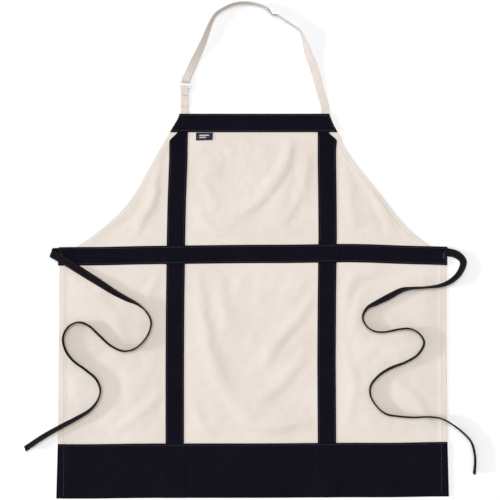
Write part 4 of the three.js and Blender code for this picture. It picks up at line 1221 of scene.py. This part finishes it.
def label():
    """A folded woven label that hangs out from under the bib band."""
    v = edged(BIB_BOTTOM - CLEARANCE - LABEL / 2, BIB_BOTTOM - LABEL_HEIGHT, 2 * MM,
              (0.8 * MM, 1.8 * MM))
    u = edged(-LABEL_WIDTH / 2, LABEL_WIDTH / 2, 2.2 * MM, (0.8 * MM, 2 * MM))
    uu, yy = np.meshgrid(u, v)
    down = (BIB_BOTTOM - yy) / LABEL_HEIGHT
    right = uu / LABEL_WIDTH + 0.5
    xx = LABEL_X + uu - 0.9 * MM * down * right
    rise = 1.6 * MM * down * right + 0.5 * MM * np.sin(np.pi * right) * down
    raised = yy + 1.2 * MM * down * right
    ground = canvas_top(xx, yy) + CLEARANCE + LABEL / 2
    mid = np.stack([xx, raised, ground + rise], -1)
    uv = np.stack([uu, yy - (BIB_BOTTOM - LABEL_HEIGHT)], -1)
    piece = slab("side_label", mid[::-1], 0.7 * MM, uv[::-1])
    return dress(piece, LABEL_CLOTH, ["label_flap"], "label")


# ---- tapes ----

ON_CANVAS = 3.5 * MM
ON_HEM = 4.0 * MM
ON_FLOOR = 0.0
SLIDER_RAIL = CLEARANCE + SLIDER_BAR

# The tapes' routes: x, y, height of what the tape lies on, lean in degrees (0 is flat and 90 is
# on edge) and, where the tape folds over, the azimuth of its width.
LEFT_TIE = [
    (-0.379, 0.005, TIE_Z, 0, 90), (-0.392, 0.005, TIE_Z, 0, 90), (-0.401, 0.0055, TIE_Z, 0, 88),
    (-0.408, 0.005, 0.004, 0, 80), (-0.4115, 0.0032, 0.0066, 0, 74),
    (-0.408, 0.0006, 0.0088, 0, 66), (-0.399, -0.0045, 0.0084, 0, 60),
    (-0.386, -0.012, 0.0076, 4, 60), (-0.371, -0.021, 0.007, 8, 60),
    (-0.361, -0.0275, 0.006, 12, 60), (-0.340, -0.041, ON_HEM, 16), (-0.313, -0.0575, ON_CANVAS, 25),
    (-0.284, -0.076, ON_CANVAS, 40), (-0.256, -0.091, ON_CANVAS, 56),
    (-0.235, -0.101, ON_CANVAS, 75), (-0.217, -0.116, ON_CANVAS, 88),
    (-0.207, -0.138, ON_CANVAS, 90), (-0.215, -0.166, ON_CANVAS, 90),
    (-0.239, -0.191, ON_CANVAS, 90), (-0.262, -0.197, ON_CANVAS, 90),
    (-0.288, -0.187, ON_CANVAS, 90), (-0.312, -0.166, ON_CANVAS, 90),
    (-0.335, -0.145, ON_CANVAS, 90), (-0.356, -0.138, ON_CANVAS, 90),
    (-0.376, -0.147, ON_HEM, 90), (-0.387, -0.169, ON_HEM, 90), (-0.383, -0.193, ON_HEM, 90),
    (-0.368, -0.215, ON_CANVAS, 90), (-0.340, -0.236, ON_CANVAS, 90),
    (-0.319, -0.255, ON_CANVAS, 90), (-0.311, -0.277, ON_CANVAS, 88),
    (-0.317, -0.298, ON_CANVAS, 84), (-0.332, -0.317, ON_CANVAS, 76),
    (-0.361, -0.335, ON_CANVAS, 68), (-0.391, -0.351, ON_HEM, 62),
    (-0.431, -0.374, ON_FLOOR, 58), (-0.4655, -0.3975, ON_FLOOR, 54),
]
RIGHT_TIE = [
    (0.379, 0.0055, TIE_Z, 0, 90), (0.392, 0.0055, TIE_Z, 0, 90), (0.402, 0.0045, TIE_Z, 0, 85),
    (0.418, 0, 0.0015, 14), (0.431, -0.014, ON_FLOOR, 40), (0.424, -0.036, 0.001, 54),
    (0.406, -0.0535, 0.0036, 60), (0.384, -0.063, ON_HEM, 72), (0.353, -0.067, ON_CANVAS, 84),
    (0.325, -0.0685, ON_CANVAS, 80), (0.305, -0.072, ON_CANVAS, 62),
    (0.280, -0.085, ON_CANVAS, 48), (0.254, -0.098, ON_CANVAS, 60),
    (0.234, -0.109, ON_CANVAS, 80), (0.225, -0.127, ON_CANVAS, 90),
    (0.232, -0.145, ON_CANVAS, 90), (0.248, -0.156, ON_CANVAS, 90),
    (0.268, -0.158, ON_CANVAS, 90), (0.300, -0.152, ON_CANVAS, 90),
    (0.320, -0.151, ON_CANVAS, 90), (0.339, -0.160, ON_CANVAS, 90),
    (0.350, -0.179, ON_CANVAS, 90), (0.338, -0.203, ON_CANVAS, 90),
    (0.314, -0.2185, ON_CANVAS, 88), (0.280, -0.232, ON_CANVAS, 84),
    (0.256, -0.248, ON_CANVAS, 88), (0.241, -0.268, ON_CANVAS, 90),
    (0.241, -0.288, ON_CANVAS, 90), (0.253, -0.309, ON_CANVAS, 90),
    (0.272, -0.325, ON_CANVAS, 90), (0.298, -0.330, ON_CANVAS, 88),
    (0.330, -0.332, ON_CANVAS, 86), (0.359, -0.331, ON_CANVAS, 86), (0.386, -0.335, ON_HEM, 86),
    (0.406, -0.3455, 0.0036, 86), (0.430, -0.364, ON_FLOOR, 86), (0.447, -0.383, ON_FLOOR, 88),
    (0.454, -0.407, ON_FLOOR, 90), (0.455, -0.428, ON_FLOOR, 90), (0.453, -0.449, ON_FLOOR, 88),
]
NECK_STRAP = [
    (-0.1308, 0.371, 0, 12), (-0.118, 0.399, 0, 28), (-0.101, 0.4365, 0, 50),
    (-0.085, 0.477, 0, 72), (-0.075, 0.493, 0, 80), (-0.059, 0.5045, 0, 86),
    (-0.042, 0.5125, 0.0005, 90), (-0.025, 0.516, 0.001, 90), (-0.006, 0.5155, 0.0016, 90),
    (0.011, 0.5115, 0.002, 90), (0.0265, 0.5058, SLIDER_RAIL, 90),
    (0.0315, 0.5025, SLIDER_RAIL, 90), (0.0632, 0.4815, SLIDER_RAIL, 90),
    (0.0915, 0.4628, SLIDER_RAIL, 90), (0.0965, 0.4595, SLIDER_RAIL, 90),
    (0.1045, 0.439, 0.001, 66), (0.114, 0.411, 0.0002, 34), (0.127, 0.378, 0, 12),
    (0.141, 0.328, 0, 4), (0.147, 0.308, 0, 0), (STRAP_END_X, 0.297, 0.0006, 0, 0),
    (STRAP_END_X, AXIS_Y, STEP_UP, 0, 0),
]
TAPE_STEP = 3 * MM
UP = np.array([0.0, 0.0, 1.0])


def centripetal(points, step):
    """Points, directions and places of an open centripetal Catmull-Rom curve."""
    points = np.array(points, float)
    places, at, along = [], [], []
    last = len(points) - 1
    for i in range(last):
        p1, p2 = points[i], points[i + 1]
        p0 = points[i - 1] if i > 0 else 2 * p1 - p2
        p3 = points[i + 2] if i + 2 <= last else 2 * p2 - p1
        d0, d1, d2 = (max(np.linalg.norm(b - a) ** 0.5, 1e-6)
                      for a, b in ((p0, p1), (p1, p2), (p2, p3)))
        m1 = ((p1 - p0) / d0 - (p2 - p0) / (d0 + d1) + (p2 - p1) / d1) * d1
        m2 = ((p2 - p1) / d1 - (p3 - p1) / (d1 + d2) + (p3 - p2) / d2) * d1
        pieces = max(1, int(round(np.linalg.norm(p2 - p1) / step)))
        for k in range(pieces + (i == last - 1)):
            t = k / pieces
            a = 2 * p1 - 2 * p2 + m1 + m2
            b = -3 * p1 + 3 * p2 - 2 * m1 - m2
            at.append(a * t ** 3 + b * t ** 2 + m1 * t + p1)
            along.append(3 * a * t ** 2 + 2 * b * t + m1)
            places.append(i + t)
    return np.array(at), unit(along), np.array(places)


def route_frames(route, width, on_cloth=False, thick=CLOTH):
    """Middle points, width directions and face directions of a tape along its route."""
    lowest = np.array([point[:3] for point in route], float)
    if on_cloth:
        for i, (x, y, ground) in enumerate(lowest):
            if ground in (ON_CANVAS, ON_HEM):
                lowest[i, 2] = float(apron_top(x, y)) + CLEARANCE
    ahead = lowest[np.minimum(np.arange(len(lowest)) + 1, len(lowest) - 1)]
    behind = lowest[np.maximum(np.arange(len(lowest)) - 1, 0)]
    heading = np.arctan2(ahead[:, 1] - behind[:, 1], ahead[:, 0] - behind[:, 0]) + math.pi / 2
    given = [math.radians(point[4]) if len(point) > 4 else angle
             for point, angle in zip(route, heading)]
    lean = np.radians([point[3] for point in route])
    across = np.stack([np.cos(given) * np.cos(lean), np.sin(given) * np.cos(lean),
                       np.sin(lean)], 1)
    at, along, places = centripetal(lowest, TAPE_STEP)
    towards = unit(placed(places, np.arange(len(route)), across))
    face = unit(np.cross(along, towards))
    wide = unit(np.cross(face, along))
    ground = np.maximum(at[:, 2], ON_FLOOR)
    if on_cloth:
        for share in (-0.5, -0.25, 0, 0.25, 0.5):
            x = at[:, 0] + wide[:, 0] * width * share
            y = at[:, 1] + wide[:, 1] * width * share
            ground = np.where(places > 5.0, np.maximum(ground, apron_top(x, y) + 0.2 * MM), ground)
    half = CLOTH / 2 + (thick - CLOTH) / 2 * smooth((places - 5) / 3)
    rise = np.abs(wide[:, 2]) * width / 2 + np.abs(face[:, 2]) * half
    at = at.copy()
    at[:, 2] = ground + rise
    return at, wide, face


def tape(name, at, wide, width, thickness=TAPE_DRAWN):
    shares = np.array([-0.5, -0.44, -0.25, 0, 0.25, 0.44, 0.5])
    mid = at[:, None, :] + wide[:, None, :] * (shares * width)[None, :, None]
    run = run_of(at)
    uv = np.stack(np.broadcast_arrays((shares * width)[None, :], run[:, None]), -1)
    thick = np.asarray(thickness)
    if thick.ndim == 1:
        thick = thick[:, None] * np.ones(len(shares))
    return slab(name, mid, thick, uv), float(run[-1])


def waist_tie(name, route, side):
    """A tie: it comes out of the waist band's end, and its own end is turned and sewn."""
    at, wide, face = route_frames(route, TIE_WIDTH, on_cloth=True, thick=TIE_THICKNESS)
    run = run_of(at)
    from_end = run[-1] - run
    swell = smooth((run - 0.024) / 0.030)
    thick = TAPE_DRAWN + (TIE_THICKNESS - TAPE_DRAWN) * swell
    thick = thick + 0.5 * MM * (1 - smooth((from_end - 0.009) / 0.002))
    piece, length = tape(f"{name}_tie", at, wide, TIE_WIDTH, thick)
    dress(piece, TIE_TAPE, [f"{name}_waist_tie"], shifted=False)
    free = (run > TIE_SEWN + 0.004) & (from_end > 0.002)
    for number, edge in enumerate((-1, 1)):
        skin = face * thick[:, None] / 2
        line = (at + wide * edge * (TIE_WIDTH / 2 - 2 * MM) + skin)[free]
        dress(seam(f"{name}_tie_stitches_{number}", line, face[free]),
                             NAVY_THREAD, shifted=False)
    bar_x = side * (SIDE_HALF_WIDTH + BAND_OVERHANG - SEAM_INSET - 2 * BARTACK_DEPTH)
    centre = (bar_x, float(waist_arch(bar_x)), float(waist_low(bar_x, 0.0)) + WEBBING
              - 0.1 * MM)
    dress(bartack(f"{name}_tie_bar", centre, (0, 1, 0), (0, 0, 1)), NAVY_THREAD,
          [f"{name}_tie_bartack"])
    return piece


# ---- neck loop ----

BAR_WRAP = 78
RING_HALF_HEIGHT = (RING_OUTER_HEIGHT - RING_WIRE) / 2
BAR_CLEAR = RING_WIRE / 2 + CLEARANCE + CLOTH / 2
BAR_Z = CLOTH + CLEARANCE + RING_WIRE / 2
RING_UP = np.array([-math.sin(RING_TILT), math.cos(RING_TILT), 0.0])
RING_ALONG = np.array([math.cos(RING_TILT), math.sin(RING_TILT), 0.0])


def ring_bar(end):
    return np.array([TAB_X, RING_Y, BAR_Z]) + RING_UP * end * 2 * RING_HALF_HEIGHT


def path_frames(points, wide):
    """Points of a given path, each with the same width direction."""
    points = np.array(points, float)
    return points, np.broadcast_to(np.asarray(wide, float), points.shape)


def neck_tab():
    """The tab: sewn into the bib band, round the ring's lower bar and back over itself."""
    slack = abs(math.sin(RING_TILT)) * NECK_WIDTH / 2 + CLEARANCE
    bend = RING_Y + slack
    path = [(BIB_TOP - BIB_SEAM_ALLOWANCE + CLEARANCE, AXIS_Z), (BIB_TOP - 0.005, AXIS_Z),
            (AXIS_Y - 0.0015, AXIS_Z), (AXIS_Y, AXIS_Z), (AXIS_Y + 0.0015, AXIS_Z - 0.1 * MM),
            (AXIS_Y + 0.004, CLOTH), (AXIS_Y + 0.009, CLOTH / 2)]
    path += [(y, CLOTH / 2) for y in spread(AXIS_Y + 0.014, bend, 4 * MM)]
    for turn in np.radians(np.linspace(-BAR_WRAP, BAR_WRAP, 13)):
        path.append((bend + BAR_CLEAR * math.cos(turn), BAR_Z + BAR_CLEAR * math.sin(turn)))
    path += [(bend, BAR_Z + BAR_CLEAR), (RING_Y - 0.004, BAR_Z + BAR_CLEAR - 0.3 * MM),
             (RING_Y - 0.008, CLOTH / 2 + LAYER + 1.1 * MM),
             (RING_Y - 0.012, CLOTH / 2 + LAYER + 0.1 * MM)]
    path += [(y, CLOTH / 2 + LAYER) for y in spread(RING_Y - 0.016, AXIS_Y + 0.014, 4 * MM)]
    points = [(TAB_X, y, z) for y, z in path]
    at, wide = path_frames(points, (-1, 0, 0))
    piece, _ = tape("neck_tab_tape", at, wide, NECK_WIDTH)
    dress(piece, NECK_TAPE, ["neck_tab", "neck_tab_root"], None)
    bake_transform(piece)
    centre = (TAB_X, RING_Y - BARTACK_FROM_RING, CLOTH + LAYER - 0.1 * MM)
    dress(bartack("neck_tab_bar", centre, (1, 0, 0), (0, 0, 1)), NATURAL_THREAD,
          ["neck_tab_bartack"], "neck_loop")


def ring_turn():
    """Half a turn of strap round the ring's upper bar, from above it to below it."""
    radius = BAR_CLEAR + RING_PLAY / 2
    centre = ring_bar(1)
    centre[2] = CLOTH / 2 + radius
    turns = np.radians(np.linspace(90, -90, 15))
    points = [centre - RING_UP * radius * math.cos(t) + UP * radius * math.sin(t) for t in turns]
    return np.array(points)


def slider_frame():
    start = np.array([*NECK_STRAP[11][:2], 0.0])
    end = np.array([*NECK_STRAP[13][:2], 0.0])
    along = unit(end - start)
    centre = start + along * SLIDER_OFFSET
    centre[2] = SLIDER_RAIL + NECK_WIDTH / 2
    return centre, along, np.cross(along, UP)


def neck_strap():
    first = path_frames(ring_turn(), -RING_ALONG)
    at, wide, _ = route_frames(NECK_STRAP, NECK_WIDTH)
    root = [(STRAP_END_X, y, AXIS_Z) for y in (BIB_TOP - 0.003, BIB_TOP - 0.007,
                                               BIB_TOP - BIB_SEAM_ALLOWANCE + CLEARANCE)]
    at = np.vstack([first[0], at, root])
    wide = np.vstack([first[1], wide, np.tile([1.0, 0, 0], (3, 1))])
    piece, length = tape("neck_strap_tape", at, wide, NECK_WIDTH)
    dress(piece, NECK_TAPE, ["neck_strap", "neck_strap_root"], None)
    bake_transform(piece)
    return piece


SLIDER_LOOP = SLIDER_BAR / 2 + CLEARANCE + CLOTH / 2
SLIDER_MIDDLE = LAYER + SLIDER_LOOP


def neck_strap_return():
    """The strap's end comes back from the ring beside the strap and goes round the slider."""
    above_bar = ring_turn()[0]
    start = above_bar + RING_UP * CLEARANCE
    leave = above_bar + RING_UP * 0.006 - UP * 1.2 * MM
    between = (start + leave) / 2
    first = path_frames([start, between, leave], -RING_ALONG)
    centre, along, inside = slider_frame()
    at, wide, face = route_frames(NECK_STRAP[:13], NECK_WIDTH)
    before = (at - centre) @ along < -SLIDER_LENGTH * 0.9
    beside = at[before] + face[before] * LAYER
    local = [(-0.016, LAYER), (-0.012, LAYER), (-0.008, LAYER), (-0.004, LAYER), (0, LAYER)]
    for turn in np.radians(np.linspace(-BAR_WRAP, BAR_WRAP, 11)):
        local.append((SLIDER_LOOP * math.cos(turn), SLIDER_MIDDLE + SLIDER_LOOP * math.sin(turn)))
    local += [(0, SLIDER_MIDDLE + SLIDER_LOOP), (-0.004, SLIDER_MIDDLE + SLIDER_LOOP - 0.4 * MM),
              (-0.008, 2 * LAYER + 1.2 * MM), (-0.012, 2 * LAYER + 0.1 * MM),
              (-0.017, 2 * LAYER)]
    last = path_frames([centre + along * u + inside * n for u, n in local], UP)
    at = np.vstack([first[0], beside, last[0]])
    wide = np.vstack([first[1], wide[before], last[1]])
    piece, length = tape("neck_strap_return_tape", at, wide, NECK_WIDTH)
    dress(piece, NECK_TAPE, ["neck_strap_return"], None)
    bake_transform(piece)
    beside_bar = 2 * LAYER + CLOTH / 2 - 0.1 * MM
    bar = centre - along * BARTACK_FROM_BAR + inside * beside_bar
    dress(bartack("neck_strap_bar", bar, (0, 0, 1), inside), NATURAL_THREAD,
          ["neck_strap_bartack"], "slider")
    return piece


def neck_ring():
    """A closed ring of round wire, with straight bars and rounded corners."""
    half_length = (RING_INNER_LENGTH + RING_WIRE) / 2
    corner = RING_WIRE
    line, outs = [], []
    for quarter, (sx, sy) in enumerate([(1, 1), (-1, 1), (-1, -1), (1, -1)]):
        for turn in np.radians(quarter * 90 + np.linspace(0, 90, 9)):
            out = RING_ALONG * math.cos(turn) + RING_UP * math.sin(turn)
            line.append(RING_ALONG * sx * (half_length - corner)
                        + RING_UP * sy * (RING_HALF_HEIGHT - corner) + out * corner)
            outs.append(out)
    line, outs = np.array(line) + ring_bar(0.5), np.array(outs)
    sides = 20
    turns = np.arange(sides) / sides * 2 * np.pi
    radius = RING_WIRE / 2
    rings = line[:, None] + radius * (outs[:, None] * np.cos(turns)[None, :, None]
                                      + UP * np.sin(turns)[None, :, None])
    count = len(line)
    index = np.arange(count * sides).reshape(count, sides)
    after = np.roll(index, -1, 0)
    faces = np.stack([index, after, np.roll(after, -1, 1), np.roll(index, -1, 1)], -1)
    piece = new_mesh("wire_ring", rings.reshape(-1, 3), faces.reshape(-1, 4))
    return dress(piece, METAL, ["neck_ring"], "ring")


def neck_slider():
    """The slider's solid with its edges rounded as a casting's are."""
    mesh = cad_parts["neck_slider"].data.copy()
    piece = bpy.data.objects.new("cast_slider", mesh)
    bpy.context.scene.collection.objects.link(piece)
    remesh = piece.modifiers.new("remesh", "REMESH")
    remesh.mode = "VOXEL"
    remesh.voxel_size = 0.26 * MM
    relax = piece.modifiers.new("relax", "SMOOTH")
    relax.factor = 0.5
    relax.iterations = 5
    graph = bpy.context.evaluated_depsgraph_get()
    rounded = bpy.data.meshes.new_from_object(piece.evaluated_get(graph))
    piece.modifiers.clear()
    rounded.polygons.foreach_set("use_smooth", np.ones(len(rounded.polygons), bool))
    rounded.materials.clear()
    piece.data = rounded
    return dress(piece, METAL, ["neck_slider"], "slider")


# ---- the whole apron ----


canvas_panel()
for side_name, side_sign in (("left", -1), ("right", 1)):
    armhole_facing(side_name, side_sign)
    front_strap(side_name, side_sign)
    strap_and_canvas_seams(side_name, side_sign)
waist_band()
bib_bands()
hem_band()
band_seams()
label()
waist_tie("left", LEFT_TIE, -1)
waist_tie("right", RIGHT_TIE, 1)
neck_tab()
neck_strap()
neck_strap_return()
neck_ring()
neck_slider()


# ---- floor and light ----

# name, strength, angle of the disc, height above the horizon and turn from -X, all in degrees
SUNS = [
    ("window", 1.42, 8, 20, 2, (0.93, 1.00, 1.08)),
    ("overhead", 2.10, 34, 80, -70, (1.02, 1.00, 0.98)),
]
SKY_STRENGTH = 0.37
HORIZON_TONE = 0.20
HORIZON_HEIGHT = 0.30
FLOOR_REACH = 6.0
FLOOR_DROP = 0.3 * MM


def add_floor():
    reach = FLOOR_REACH
    corners = [(-reach, -reach), (reach, -reach), (reach, reach), (-reach, reach)]
    floor = new_mesh("floor", [(x, y, -FLOOR_DROP) for x, y in corners], [(0, 1, 2, 3)])
    paint = Paint("pale_floor")
    place = paint.node("ShaderNodeTexCoord").outputs["Object"]
    tone = paint.mix(paint.noise(place, 3.0), rgb(0.89, 0.90, 0.92), rgb(0.92, 0.93, 0.95))
    floor.data.materials.append(paint.finish(Base_Color=tone, Roughness=0.8,
                                             Specular_IOR_Level=0.1))


def add_light():
    for name, strength, angle, height, turn, colour in SUNS:
        sun = bpy.data.objects.new(name, bpy.data.lights.new(name, "SUN"))
        bpy.context.scene.collection.objects.link(sun)
        sun.data.energy = strength
        sun.data.angle = math.radians(angle)
        sun.data.color = colour
        sun.rotation_euler = (0, -math.radians(90 - height), math.radians(turn))
    world = bpy.data.worlds.new("studio")
    world.use_nodes = True
    nodes, links = world.node_tree.nodes, world.node_tree.links
    sky = nodes["Background"]
    sky.inputs["Strength"].default_value = SKY_STRENGTH
    split = nodes.new("ShaderNodeSeparateXYZ")
    links.new(nodes.new("ShaderNodeTexCoord").outputs["Generated"], split.inputs[0])
    rise = nodes.new("ShaderNodeMapRange")
    rise.interpolation_type = "SMOOTHSTEP"
    for place, value in ((1, 0.0), (2, HORIZON_HEIGHT), (3, HORIZON_TONE), (4, 1.0)):
        rise.inputs[place].default_value = value
    links.new(split.outputs[2], rise.inputs[0])
    links.new(rise.outputs[0], sky.inputs["Color"])
    bpy.context.scene.world = world
    bpy.context.scene.view_settings.view_transform = "Standard"


add_floor()
add_light()
